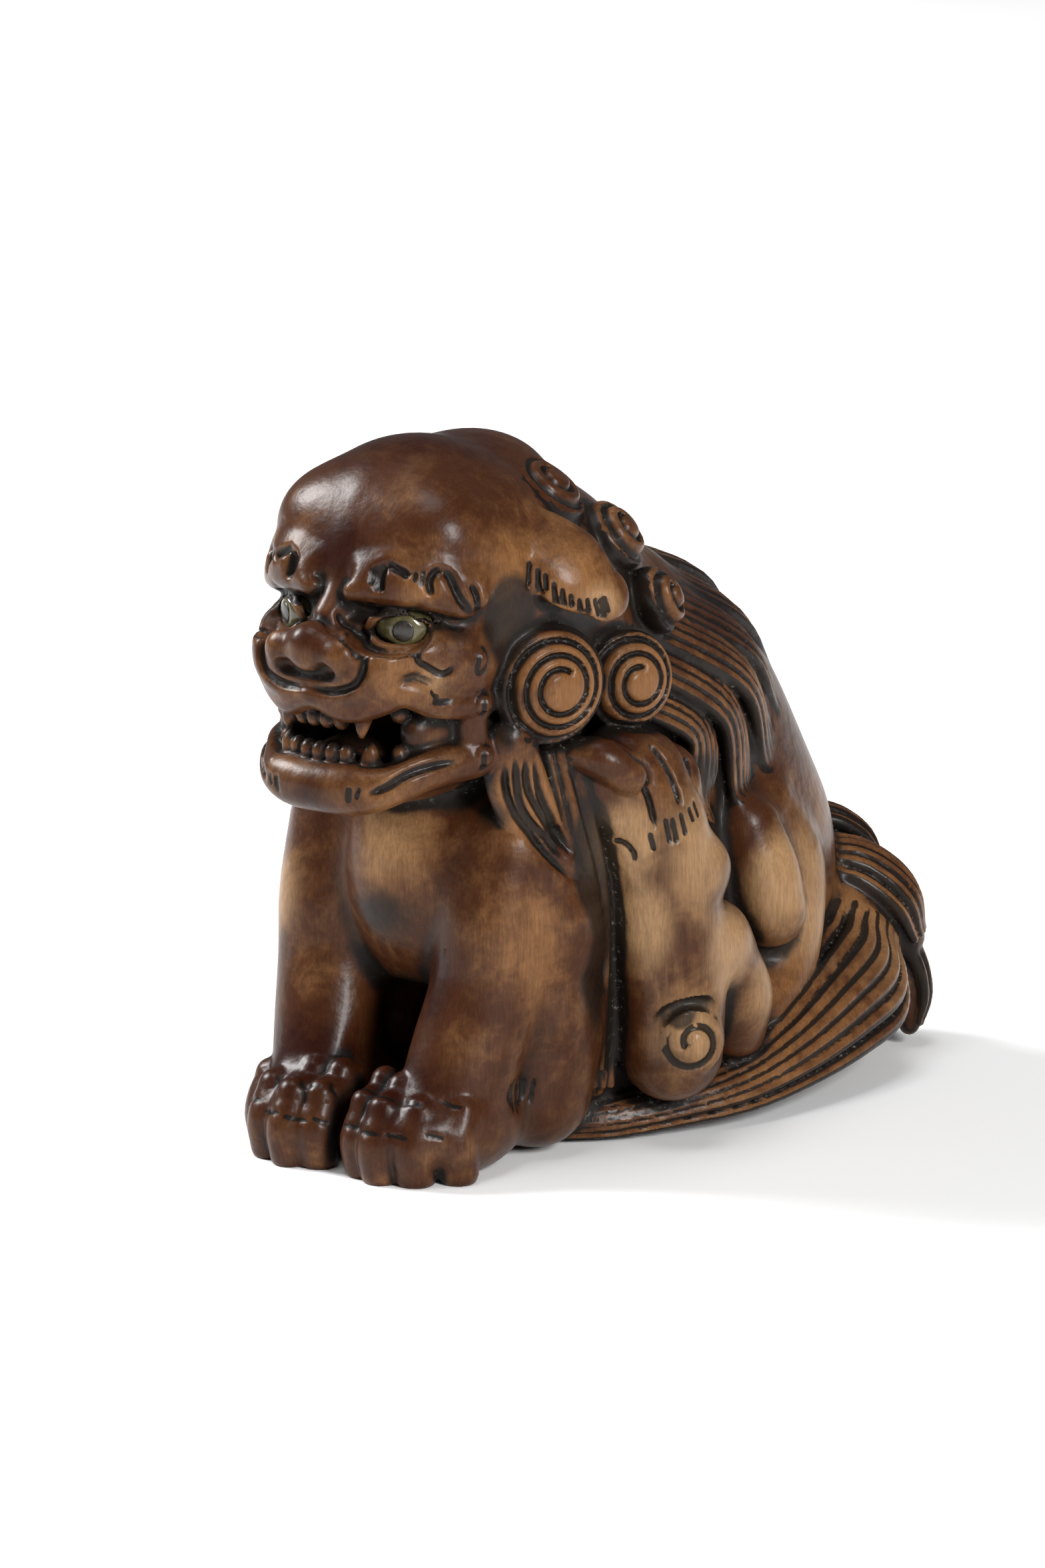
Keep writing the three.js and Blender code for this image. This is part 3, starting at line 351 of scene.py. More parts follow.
def surfaceNets(values, low, cell):
    # one corner in each cell that the surface passes, at the mean of the cell's edge crossings
    inside = values < 0
    n = np.array(values.shape)
    count = np.zeros(tuple(n - 1), np.uint8)
    corners = [(i, j, k) for i in (0, 1) for j in (0, 1) for k in (0, 1)]
    for i, j, k in corners:
        count += inside[i:n[0]-1+i, j:n[1]-1+j, k:n[2]-1+k]
    cells = np.argwhere((count > 0) & (count < 8))
    index = np.full(tuple(n - 1), -1, np.int32)
    index[tuple(cells.T)] = np.arange(len(cells))
    total = np.zeros((len(cells), 3))
    crossings = np.zeros(len(cells))
    for axis in range(3):
        for a in (0, 1):
            for b in (0, 1):
                start = np.insert([a, b], axis, 0)
                end = np.insert([a, b], axis, 1)
                v0 = values[tuple((cells + start).T)]
                v1 = values[tuple((cells + end).T)]
                m = (v0 < 0) != (v1 < 0)
                t = np.where(m, v0/np.where(m, v0 - v1, 1), 0)
                point = np.tile(start.astype(float), (len(cells), 1))
                point[:, axis] = t
                total += point*m[:, None]
                crossings += m
    points = low + (cells + total/crossings[:, None])*cell
    faces = []
    for axis in range(3):
        one, two = [k for k in range(3) if k != axis]
        first = [slice(1, -1)]*3
        second = [slice(1, -1)]*3
        first[axis] = slice(0, n[axis] - 1)
        second[axis] = slice(1, n[axis])
        a, b = inside[tuple(first)], inside[tuple(second)]
        edges = np.argwhere(a != b)
        up = a[tuple(edges.T)]
        edges = edges + np.array([0 if k == axis else 1 for k in range(3)])
        d1 = np.eye(3, dtype=int)[one]
        d2 = np.eye(3, dtype=int)[two]
        around = [edges - d1 - d2, edges - d2, edges, edges - d1]
        quad = np.stack([index[tuple(q.T)] for q in around], 1)
        if axis == 1:
            up = ~up
        quad[~up] = quad[~up][:, ::-1]
        faces.append(quad)
    return points, np.vstack(faces)

def trunk():
    ball([0, -4.6, 14], [6, 9.2, 8.4], 2)
    ball([0, 8.4, 10.2], [8.4, 10.2, 10.2], 3)
    ball([0, 5.2, 17.8], [7.2, 9.4, 7.8], 3)
    ball([0, 0.6, 21.4], [6.8, 8.2, 7.4], 2)
    ball([0, 7, 4.4], [7.2, 8.6, 5.6], 1.5)
    limb([[3.6, -3.2, 2.4, 2.8], [3.9, -3.4, 9, 3.2], [4, -3.6, 16, 3.4]], 1)
    limb([[-3.6, -3.2, 2.4, 2.8], [-3.9, -3.4, 9, 3.2], [-4, -3.6, 16, 3.4]], 1)
    ball([5.6, 0.4, 9.4], [3, 5, 8.4], 1)

def foreleg(out=0):
    limb([[4.4 + out, -9.6, 15.2, 3], [4.5 + out, -10.6, 12, 2.8], [4.4 + out, -11, 9, 2.7],
          [4 + out, -11.8, 6.2, 2.7], [3.4 + out, -12.8, 3.4, 2.7]], 1)
    limb([[4.6 + out, -7.8, 14.6, 3.2], [5 + out, -7.8, 11.2, 3.3], [5 + out, -7.9, 9, 2.9],
          [4.9 + out, -7.4, 6.8, 3.1], [4.6 + out, -7.6, 3, 2.8]], 1)
    ball([3.2 + out, -12.6, 2.2], [3.3, 4.6, 2.5], 0.8)
    for place, size in [[[7.1, -8.3, 11.8], [1.1, 1.3, 1.5]], [[6.9, -8.5, 7.5], [1.1, 1.3, 1.8]],
                        [[5.3, -11, 13.7], [1, 0.9, 1.3]], [[5.1, -11.6, 8.6], [1, 1, 1.3]]]:
        ball([place[0] + out, place[1], place[2]], size, 0.6)

def foretoes(out=0):
    for x, y, r in [[0.9, -16.5, 0.95], [2.3, -16.9, 1.02], [3.9, -16.3, 1.04], [5.3, -14.8, 1]]:
        left = x + out
        limb([[left*0.95, y + 2.6, 3.9, 0.8], [left, y + 0.9, 3.2, r*0.9], [left, y + 0.1, 1.9, r*1.02],
              [left, y + 0.3, 0.6, r]], 0.25)
        ball([left*0.97, y + 2.1, 4.3], [r*0.72, 0.75, 0.7], 0.2)
        ball([left, y + 0.55, 3.5], [r*0.78, 0.75, 0.75], 0.2)

def hollowUnderChest():
    limb([[0, -15, 3.4, 1.6], [0, -11, 5.6, 2.2], [0, -7.5, 6.6, 2.4], [0, -4.6, 4, 1.6]], 1, kind="cut")

def skull():
    ball([0, -8.2, 27.2], [6.9, 7.3, 6.8], 2)
    ball([0, -11.1, 29.2], [6.2, 5.7, 5.4], 2)
    ball([0, -11.2, 31.6], [3.4, 3.6, 2.8], 1.5)
    ball([2.9, -13.3, 30.8], [2.7, 2.5, 2.5], 1.2)
    ball([-2.9, -13.3, 30.8], [2.7, 2.5, 2.5], 1.2)

def muzzle():
    ball([0, -14.4, 25], [4.8, 4.2, 2.1], 1)
    ball([0, -16.2, 25.6], [3.4, 2.6, 1.8], 0.6)
    limb([[0, -16, 29, 0.9], [0, -16.7, 28.1, 0.8], [0, -17.4, 27.3, 0.8]], 0.5)

def muzzlePad():
    limb([[4.2, -15.8, 25.9, 1], [3.3, -17.2, 25.7, 1.2], [2.7, -17.7, 24.8, 1.25], [1.5, -18.2, 24.1, 1],
          [0, -18.4, 24, 0.85]], 0.4)
    ball([4.3, -13.4, 25.2], [2, 2.8, 2.4], 0.8)
    limb([[5, -13.3, 24, 0.9], [5, -13.2, 22, 0.85], [4.9, -13, 20.6, 0.9]], 0.4)

def nose():
    ball([0, -18.8, 26.1], [1.2, 1.15, 1.2], 0.3)
    ball([1.65, -18.5, 25.8], [1.05, 1.15, 1.1], 0.55)
    ball([-1.65, -18.5, 25.8], [1.05, 1.15, 1.1], 0.55)

def nostril():
    ball([1.2, -19.6, 25.1], [0.55, 0.8, 0.42], 0.2, kind="cut")

def upperLip():
    limb([[0, -18.4, 23.9, 0.6], [1, -18.3, 23.45, 0.72], [1.9, -18, 23.2, 0.72], [2.9, -17.5, 23.6, 0.75],
          [3.9, -16.7, 24.1, 0.8], [4.7, -15.4, 23.4, 0.8], [5.2, -14, 23.2, 0.75],
          [5.2, -12.6, 23.1, 0.8]], 0.3)

def jaw():
    limb([[5, -10.8, 20.6, 1.1], [4.9, -12.9, 20.4, 1.05], [4.3, -15.4, 20.2, 1],
          [3.2, -17.1, 19.55, 1.05], [1.9, -17.6, 19.3, 1.3],
          [0, -17.8, 19.25, 1.3], [-1.9, -17.6, 19.3, 1.3], [-3.2, -17.1, 19.55, 1.05],
          [-4.3, -15.4, 20.2, 1], [-4.9, -12.9, 20.4, 1.05], [-5, -10.8, 20.6, 1.1]], 0.4)
    ball([0, -13.6, 19.2], [4.2, 4.6, 1.3], 0.6)
    ball([0, -10.4, 21.6], [5.3, 3.6, 3.4], 0.8)

def mouthHollow():
    ball([0, -15.4, 21.7], [3, 3.6, 1], 0.3, kind="cut")
    ball([0, -15, 20.3], [2, 2.8, 1], 0.3)

def mouthSide():
    limb([[0, -18.7, 21.75, 0.7], [1.5, -18.5, 21.6, 0.9], [3, -17.4, 21.6, 1.15], [4.3, -16, 22, 0.85],
          [5.5, -14.5, 22, 0.45]],
         0.12, kind="cut")
    limb([[2.9, -16.2, 22.7, 0.6], [3.9, -15.9, 23, 0.45]], 0.3, kind="cut")
    ball([3.6, -14.1, 21.8], [1.1, 2.2, 1.5], 0.3)

def teeth():
    for x in [-2.7, -1.95, -1.2, -0.45, 0.3, 1.05]:
        ball([x, -17.95 + 0.09*x*x, 22.6], [0.4, 0.5, 0.55], 0.08)
    for x in [-2.5, -1.75, -1, -0.25, 0.5, 1.25]:
        ball([x, -17.85 + 0.1*x*x, 20.85], [0.39, 0.45, 0.55], 0.08)

def fangs():
    limb([[2.15, -17.6, 22.9, 0.5], [2.2, -17.8, 22.2, 0.28], [2.2, -17.8, 21.8, 0.1]], 0.1)
    limb([[2.3, -17.3, 20.4, 0.55], [2.4, -17.4, 21, 0.4], [2.4, -17.4, 21.4, 0.18]], 0.1)
    ball([3.3, -16.3, 20.9], [0.4, 0.5, 0.5], 0.1)
    ball([3.8, -15.3, 21.2], [0.4, 0.45, 0.45], 0.1)
    ball([3.2, -16.2, 22.9], [0.45, 0.5, 0.55], 0.1)

def eyeHollow():
    ball([3.4, -17.3, 26.9], [2, 1.6, 1.1], 0.3, kind="cut", turn=[0, 0, 29])
    ball([1.5, -18.1, 27.6], [0.75, 1.3, 0.6], 0.3, kind="cut", turn=[0, -25, 0])

def brow():
    limb([[1.3, -17.1, 28.6, 0.6], [2.1, -16.4, 28.8, 0.95], [3.5, -15.7, 28.75, 1.05],
          [4.6, -15, 28.5, 0.95], [5.5, -14.3, 28.1, 0.75], [6.1, -13.9, 28.2, 0.4]], 0.2)
    limb([[1.6, -16.3, 29.5, 0.8], [3, -15.9, 29.7, 0.9], [4.5, -14.9, 29.4, 0.9],
          [5.7, -13.6, 28.8, 0.7]], 0.6)

def eyelids():
    limb([[1.85, -16.9, 26.8, 0.22], [2.4, -16.85, 27.5, 0.28], [3.2, -16.35, 27.7, 0.28],
          [4, -15.7, 27.4, 0.26], [4.5, -15.2, 26.85, 0.26]], 0.12)
    limb([[1.85, -16.9, 26.8, 0.22], [2.5, -16.95, 26.15, 0.3], [3.3, -16.45, 25.9, 0.34],
          [4.1, -15.7, 26.15, 0.3], [4.5, -15.2, 26.85, 0.26]], 0.12)
    limb([[4.75, -15.1, 27.3, 0.22], [5.05, -14.8, 26.5, 0.3], [4.6, -15.3, 25.75, 0.25]], 0.12)

def cheekBeads():
    ball([6, -13.9, 25.4], [0.5, 0.5, 0.55], 0.12)
    ball([6, -13.5, 23.2], [0.5, 0.5, 0.5], 0.12)
    ball([5.8, -13.2, 20.6], [0.55, 0.55, 0.55], 0.12)

def mane():
    ball([0, -4.2, 25], [6.9, 7.4, 7.4], 1.5)
    ball([0, -6.2, 32.2], [3.6, 3.2, 2.3], 1)

def curls():
    curl([7, -9.6, 23.6], [0.9, -0.42, 0], 2.9, 1.5, start=55, turns=2.9, bulb=0.3, width=0.15, depth=0.42)
    curl([7.7, -4.3, 23], [0.93, -0.35, 0.05], 2.4, 1.4, start=75, turns=2.5, bulb=0.3, width=0.14,
         depth=0.4)
    curl([6.9, -0.9, 26.2], [0.85, 0.3, 0.35], 1.8, 1.3, start=60, turns=1.7, squash=0.75, lean=25)
    curl([5.4, -2.4, 29.4], [0.7, 0.3, 0.65], 1.9, 1.2, start=60, turns=1.8)
    curl([4, -6, 32], [0.55, 0.2, 0.8], 2.2, 1.1, start=60)

def ear():
    lock([[4.7, -9.9, 30.9, 1.5], [6, -9.3, 30.1, 2], [7.5, -8.4, 28.9, 2.1], [8.5, -7.4, 27.8, 1.4]],
         [0.75, -0.45, 0.6],
         strands=0, flat=0.5, blend=0.2)

def beardLock():
    lock([[6, -11.4, 20.8, 1.3], [6.2, -11, 18.8, 1.5], [6.6, -10.3, 17, 1.35], [7, -9.2, 15.2, 0.85],
          [7.4, -8, 13.6, 0.25]],
         [0.75, -0.65, 0.1], strands=0, flat=0.65, blend=0.15)

def flankHair():
    lock([[6.3, -8.6, 20, 1.3], [6.8, -8.2, 17, 1.5], [7, -7, 13.5, 1.3], [6.8, -6.2, 9.5, 1.1],
          [6.4, -5.6, 4, 0.8]],
         [0.8, -0.6, 0], strands=4, flat=0.55)
    lock([[6.6, -6.2, 19.4, 1.2], [6.9, -5.6, 15, 1.3], [6.6, -5, 9, 1.2], [6.2, -4.8, 3, 1]],
         [0.8, -0.6, 0], strands=4, flat=0.5)

def backHair():
    for angle, y0, z0, y1, z1, r in [[4, 5.6, 27.4, 14.6, 19.4, 1.5], [22, 5.8, 26.8, 15, 16.6, 1.7],
                                     [42, 4.4, 26, 12.6, 15.6, 1.7],
                                     [60, 2.8, 25, 9.8, 14.8, 1.7], [76, 1, 24, 6.6, 14, 1.6],
                                     [90, -0.8, 22.4, 3.2, 14.6, 1.4]]:
        s = np.sin(np.radians(angle))
        c = np.cos(np.radians(angle))
        middle = [s*7.5, (y0 + y1)/2 - 0.2, (z0 + z1)/2 + 1.3]
        lock([[s*6.4, y0 - 4.6, z0 + 0.6, r*0.9], [*middle, r], [s*7.7, y1 - 1.6, z1 + 1.4, r*0.62],
              [s*7.6, y1 - 0.2, z1, 0.15]],
             [s, c*0.8, 0.6], strands=5, flat=0.42, blend=0.2)

def raisedLeg():
    limb([[9, -2.4, 4.6, 2.5], [9, -2.5, 8, 2.65], [8.8, -3, 12.5, 2.75], [8.4, -3.6, 16, 2.8],
          [8, -4.4, 18.2, 2.4]], 0.8)
    ball([9.7, -0.2, 9.6], [1.9, 2.2, 2.1], 1.1)
    ball([10, -1.6, 13.6], [1.5, 1.6, 1.6], 0.9)
    limb([[9.2, 1.4, 8.4, 1.8], [9.3, 2.3, 6.4, 1.9], [9, 2.7, 4.6, 1.6]], 1)
    limb([[7.8, 5.3, 14, 1.7], [8.4, 5.7, 11.8, 1.9], [8.8, 6, 9.8, 1.8]], 0.8)
    limb([[6.8, 7.6, 14.2, 1.8], [7, 9.2, 11, 2.3], [7.3, 8.2, 6.6, 2.3], [7.8, 6, 4.8, 1.9]], 1)
    ball([7.6, -5.6, 18.4], [1.6, 2.2, 2.4], 0.6)

def raisedToes():
    limb([[7.4, -7.9, 20, 0.8], [8.4, -7.2, 19.7, 1.05], [9.2, -6.3, 18.9, 1]], 0.3)
    for x, y, z in [[9, -5.2, 19.3], [9.2, -3.4, 19], [9.1, -1.9, 18.2]]:
        limb([[x + 0.2, y, z - 1.4, 0.95], [x - 0.3, y, z + 0.1, 1.05], [x - 1.7, y, z + 0.7, 0.85]], 0.3)

def heelCurl():
    curl([10.75, -3.3, 5.5], [0.8, -0.6, 0.1], 1.75, 0.95, start=150, sense=-1, turns=1.35, bulb=0.26,
         width=0.2, depth=0.4, rim=2)
    limb([[11.1 + 1.2*np.cos(np.radians(a)), -3.57 + 1.6*np.cos(np.radians(a)),
           5.5 + 2*np.sin(np.radians(a)), 0.36]
          for a in [200, 150, 100, 50, 0]], 0.15, kind="cut")

def hollowByKnee():
    limb([[9.8, 1.6, 14.4, 0.9], [9.6, 2.6, 12.2, 0.8], [9.8, 2.9, 10.8, 0.4]], 0.5, kind="cut")

def rightHind():
    ball([-6.4, 7.4, 8], [3.8, 6.6, 6.8], 1.2)
    limb([[-8, 6, 2.6, 2.4], [-7.8, 0, 2.2, 2.1], [-5, -4.6, 2, 1.9], [-1.8, -8.6, 2, 1.6]], 0.8)

def tail():
    ball([3.6, 16.2, 5.4], [5.2, 3.8, 5.2], 0.8)
    lock([[1.4, 16.6, 9.6, 1.5], [2.6, 18.2, 10.6, 1.9], [4, 19.6, 10, 1.6], [5, 20.4, 8.8, 0.8]],
         [0.4, 0.6, 0.8], strands=5, flat=0.85)
    lock([[4.4, 15.4, 9.8, 1.4], [5.8, 16.9, 9.2, 2.1], [7.2, 18.3, 7.6, 2.2], [8, 19.2, 5.8, 1.2]],
         [0.8, 0.3, 0.6], strands=6, flat=0.9)
    lock([[5.8, 18.2, 6.4, 1.6], [6.8, 19.4, 4.6, 1.9], [7.6, 19.8, 2.8, 1.5], [7.8, 19.6, 1.2, 0.9]],
         [0.7, 0.7, 0], strands=5, flat=0.85)
    lock([[2, 19, 7.8, 1.6], [2.8, 20.3, 5.4, 2], [3.8, 20.3, 3, 1.7], [4.4, 20, 1.2, 1]], [0.1, 1, 0.2],
         strands=5, flat=0.85)
    lock([[-0.8, 17.2, 9.2, 1.5], [-1.2, 18.6, 6.6, 1.9], [-0.6, 18.8, 3.8, 1.7], [0.4, 18.6, 1.6, 1]],
         [-0.3, 1, 0.2], strands=5, flat=0.85)

def tailLock():
    lock([[7, 15.6, 6.2, 2.6], [8.2, 13.4, 4.6, 3.5], [9, 10, 3.6, 3.1], [9.4, 6, 2.5, 2.3],
          [9.2, 2.4, 1.7, 1.7], [8, -1, 1.3, 1.3], [6.2, -4, 1, 1.1], [4, -6.4, 0.9, 0.9]],
         [[0.75, 0.2, 0.6], [0.8, 0.1, 0.6], [0.8, 0, 0.6], [0.8, 0, 0.6], [0.8, -0.2, 0.6],
          [0.7, -0.5, 0.5], [0.7, -0.6, 0.4], [0.7, -0.6, 0.4]], strands=7, flat=0.85)

def carve():
    trunk()
    foreleg()
    mirrored(foreleg, 0.5)
    hollowUnderChest()
    foretoes()
    mirrored(foretoes, 0.9)
    skull()
    mane()
    muzzle()
    both(muzzlePad)
    both(upperLip)
    jaw()
    mouthHollow()
    both(mouthSide)
    teeth()
    both(fangs)
    nose()
    both(nostril)
    both(brow)
    both(eyeHollow)
    both(eyelids)
    both(cheekBeads)
    both(backHair)
    raisedLeg()
    hollowByKnee()
    raisedToes()
    heelCurl()
    rightHind()
    tailLock()
    tail()
    both(flankHair)
    both(curls)
    both(ear)
    both(beardLock)

def browCuts():
    groove([[2.7, -16.8, 30.2], [2.7, -17.1, 29.4], [2.7, -17.1, 28.6]], 0.26, 0.45)
    groove([[2.7, -16.8, 30.1], [3.3, -16.7, 29.9], [3.8, -16.6, 29.7], [4, -16.5, 29.4]], 0.2, 0.35)
    groove([[5.1, -15.3, 29.9], [4.9, -15.8, 29.7], [4.8, -16, 29.2], [5, -15.9, 28.5]], 0.18, 0.35)
    groove([[5, -15.6, 29.8], [5.4, -15.2, 29.5], [5.7, -15.1, 28.9], [6, -14.9, 28.2], [5.9, -14, 27.4]],
           0.22, 0.35)
    groove([[6, -14.4, 29.2], [6.3, -14.3, 28.6], [6.3, -14.2, 28], [6, -13.8, 27.4]], 0.16, 0.25)
    groove([[2.2, -17, 29.9], [2.3, -17.3, 29]], 0.11, 0.12)
    groove([[2.4, -16.9, 30], [2.5, -17.3, 29]], 0.11, 0.12)
    groove([[4.5, -16, 29.9], [4.6, -16.3, 29]], 0.11, 0.12)
    groove([[4.2, -16.2, 29.8], [4.3, -16.4, 29.2]], 0.1, 0.1)
    groove([[0.9, -17.2, 29.3], [1.4, -17, 28.6], [1.8, -16.9, 28], [2.5, -17, 27.8], [3.3, -16.6, 27.8],
            [4.4, -15.6, 27.6], [5.1, -15, 27.2], [5.8, -14, 26.9]], 0.2, 0.2)

def cheekCuts():
    groove([[2.8, -18.6, 19.2], [3.8, -17.9, 19.7], [4.3, -17.2, 20.2], [4.9, -16.2, 20.5],
            [5.6, -14.3, 20.6]], 0.2, 0.3)
    groove([[2.2, -18.8, 19.7], [2.1, -18.8, 18.7]], 0.16, 0.15)
    groove([[2.7, -18.7, 19.7], [2.5, -18.7, 19]], 0.11, 0.12)
    groove([[5, -16.2, 23.7], [5.3, -15.9, 23.6], [5.6, -15.2, 23.6]], 0.16, 0.15)
    groove([[5, -16.2, 24.3], [5.1, -16.1, 24], [5.3, -15.8, 23.8]], 0.1, 0.12)
    groove([[3.6, -16.8, 25.9], [4.6, -16.6, 25.6], [5, -16.2, 25.2], [5.4, -15.7, 24.9],
            [5.8, -15.1, 25.4]], 0.17, 0.25)
    for x, y, z in [[6.2, -14, 25.4], [6.2, -13.6, 23.2], [6, -13.4, 20.6]]:
        groove([[x + 0.5*np.sin(np.radians(a)), y - 0.5*np.sin(np.radians(a)),
                 z + 0.65*np.cos(np.radians(a))]
                for a in range(0, 400, 40)], 0.12, 0.12)

def noseCut():
    groove([[0.2, -18.2, 27.2], [1.2, -18.5, 27.1], [2, -18.7, 26.7], [2.7, -18.5, 26.2], [3, -18.6, 25.6],
            [2.9, -18.8, 25],
            [2.5, -19, 24.5], [1.6, -19.2, 24.2], [0.7, -19.3, 24.2], [-0.4, -19.3, 24.3]], 0.2, 0.4)
    groove([[0.6, -17.7, 27.7], [1.1, -17.5, 27.1], [1.6, -17.3, 26.7], [2.3, -17.2, 26.4]], 0.2, 0.2)

def earCuts():
    hatch([[6.7, -10.7, 29.8], [7.3, -10.3, 29.2], [8, -9.9, 28.5], [8.6, -9.3, 28], [8.9, -8.5, 27.9],
           [9, -8, 27.9]],
          [[0.2, -0.3, -1.5], [0.2, 0.1, -1.5], [0.1, 0.4, -1.2]], 11, 0.12, 0.2)

def beardCuts():
    groove([[6.5, -12.3, 20.6], [6.4, -12.3, 19], [6.6, -12, 17.7], [6.9, -11.4, 16.8], [7.5, -9.9, 15.2],
            [7.9, -8.5, 13.8]], 0.2, 0.45)
    groove([[6.8, -11.9, 20.8], [7, -12, 19], [7.1, -11.7, 17.7], [7.4, -10.5, 16], [7.7, -9, 14.4]], 0.2,
           0.45)
    groove([[7, -11.3, 20.8], [7.3, -11.5, 19], [7.6, -11.1, 17.9], [7.7, -10.1, 16.6], [7.7, -8.8, 15]],
           0.2, 0.45)
    groove([[7.3, -10.8, 20.6], [7.5, -10.8, 18.9], [7.7, -10.4, 17.8], [7.8, -9.4, 16.4],
            [7.7, -8.6, 15.1]], 0.2, 0.45)

def raisedPawCuts():
    groove([[8.7, -7, 20.2], [9.2, -6.5, 19.5], [9.5, -6.1, 19], [9.9, -5.9, 18.3], [10.1, -5.7, 17.5],
            [10.2, -5.6, 16.8], [10.5, -5.5, 16]],
           0.17, 0.4)
    groove([[9.2, -4.8, 20.4], [9.7, -4.7, 19.9], [10, -4.6, 19.4], [10.3, -4.4, 18.8], [10.7, -4.3, 17.8],
            [10.9, -4.3, 17]], 0.17, 0.4)
    groove([[9.6, -2, 19.4], [10.2, -2.2, 18.6], [10.6, -2.4, 17.6]], 0.15, 0.3)
    for x, y, z, long in [[10.1, -5.8, 16.2, 1.1], [10.6, -5.2, 16.9, 1.5], [10.8, -4.9, 16.9, 1.5],
                          [10.9, -4.4, 17.1, 1.4], [11, -3.8, 17.2, 0.9], [10.9, -3.3, 17.4, 1]]:
        groove([[x, y, z], [x + 0.1, y + 0.1, z - long/2], [x + 0.2, y + 0.2, z - long]], 0.13, 0.16)
    groove([[8.2, -6.3, 15.5], [8.9, -6.3, 15.6], [9.4, -6.1, 15.1], [9.4, -6, 14.5]], 0.14, 0.15)

def pawCuts():
    for x, y in [[0.2, -17], [1.6, -17.5], [3.1, -17.3], [4.7, -16.2]]:
        for z in (2.6, 3.9):
            groove([[x - 0.1, y + z - 2.6, z], [x + 0.7, y + z - 2.9, z + 0.1], [x + 1.4, y + z - 2.6, z]],
                   0.1, 0.1)
    hatch([[6.4, -11.5, 4.4], [7.2, -10.4, 4.2]], [[0, 0, -1.3], [0, 0, -1.3]], 6, 0.1, 0.12)

def fineCuts():
    for cuts in (browCuts, cheekCuts, noseCut, earCuts, beardCuts, pawCuts):
        both(cuts)
    raisedPawCuts()

# The body

def socketsAndHoles():
    # the eye sockets, and the two cord holes that meet under the belly
    for name in ("eye_left", "eye_right"):
        low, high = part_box(name)
        centre = (np.array(low) + np.array(high))/2/share + sketchOrigin
        turn = eyeSizes["turn"] if centre[0] > 0 else -eyeSizes["turn"]
        radii = np.array([eyeSizes["length"], eyeSizes["depth"], eyeSizes["height"]])/2/share
        radii = radii + eyeSizes["gap"]
        ball(centre, radii, eyeSizes["socketEdge"], kind="cut", turn=[0, 0, turn])
    holes = {"wide": 3.0, "narrow": 2.2, "spacing": 7.0, "meet": 4.0, "back": 6.0, "past": 0.4, "edge": 0.12}
    middle = np.array([0, holes["back"], 0]) + sketchOrigin
    for size, way in ((holes["wide"], 1), (holes["narrow"], -1)):
        mouth = middle + [0, way*holes["spacing"]/2, 0]
        meet = middle + [0, 0, holes["meet"]]
        outside = mouth - (meet - mouth)*holes["past"]
        limb([[*outside, size/2], [*mouth, size/2], [*meet, size/2]], holes["edge"], kind="cut")

def meshOf(name, points, faces):
    mesh = bpy.data.meshes.new(name)
    mesh.from_pydata([], [], [])
    mesh.vertices.add(len(points))
    mesh.vertices.foreach_set("co", points.astype(np.float32).ravel())
    mesh.loops.add(faces.size)
    mesh.loops.foreach_set("vertex_index", faces.astype(np.int32).ravel())
    mesh.polygons.add(len(faces))
    mesh.polygons.foreach_set("loop_start", np.arange(0, faces.size, faces.shape[1], dtype=np.int32))
    mesh.update()
    mesh.validate()
    piece = bpy.data.objects.new(name, mesh)
    bpy.context.scene.collection.objects.link(piece)
    return piece

def smooth(piece):
    piece.data.polygons.foreach_set("use_smooth", np.ones(len(piece.data.polygons), bool))
    piece.data.update()

def largestSheet(points, faces):
    # drops the small closed pockets: every corner takes the lowest number among its neighbours, until none
    # changes
    label = np.arange(len(points))
    while True:
        lowest = label[faces].min(1)
        new = label.copy()
        np.minimum.at(new, faces.ravel(), np.repeat(lowest, faces.shape[1]))
        new = new[new]
        if (new == label).all():
            break
        label = new
    names, counts = np.unique(label[faces[:, 0]], return_counts=True)
    kept = faces[label[faces[:, 0]] == names[counts.argmax()]]
    used, numbers = np.unique(kept, return_inverse=True)
    return points[used], numbers.reshape(kept.shape)

def thin(piece, most):
    triangles = len(piece.data.loops) - 2*len(piece.data.polygons)
    modifier = piece.modifiers.new("thin", "DECIMATE")
    modifier.ratio = min(1.0, most/triangles)
    bpy.context.view_layer.objects.active = piece
    with bpy.context.temp_override(object=piece, active_object=piece, selected_objects=[piece]):
        bpy.ops.object.modifier_apply(modifier="thin")

def blob(p, centre, reach):
    # 1 at a place, falling to 0 at its reach as a smooth step
    away = np.linalg.norm((p - np.array(centre))/np.array(reach), axis=1)
    s = np.clip(1 - away, 0, 1)
    return s*s*(3 - 2*s)

def sampled(values, start, cell, points):
    # the lattice's distance at any place, in proportion between its eight nearest corners
    at = np.clip((points - start)/cell, 0, np.array(values.shape) - 1.001)
    low = at.astype(int)
    t = at - low
    found = np.zeros(len(points))
    for i in (0, 1):
        for j in (0, 1):
            for k in (0, 1):
                part = np.abs(1 - i - t[:, 0])*np.abs(1 - j - t[:, 1])*np.abs(1 - k - t[:, 2])
                found += part*values[low[:, 0] + i, low[:, 1] + j, low[:, 2] + k]
    return found

marks = {
    "step": 0.7,                       # how far apart the slope is taken, in cells
    "reaches": (0.2, 0.45, 1.0),       # how far out a hollow is felt for, and how much each place counts
    "counts": (0.35, 0.35, 0.3),
    "inward": 0.45,                    # how far in a ridge is felt for
}

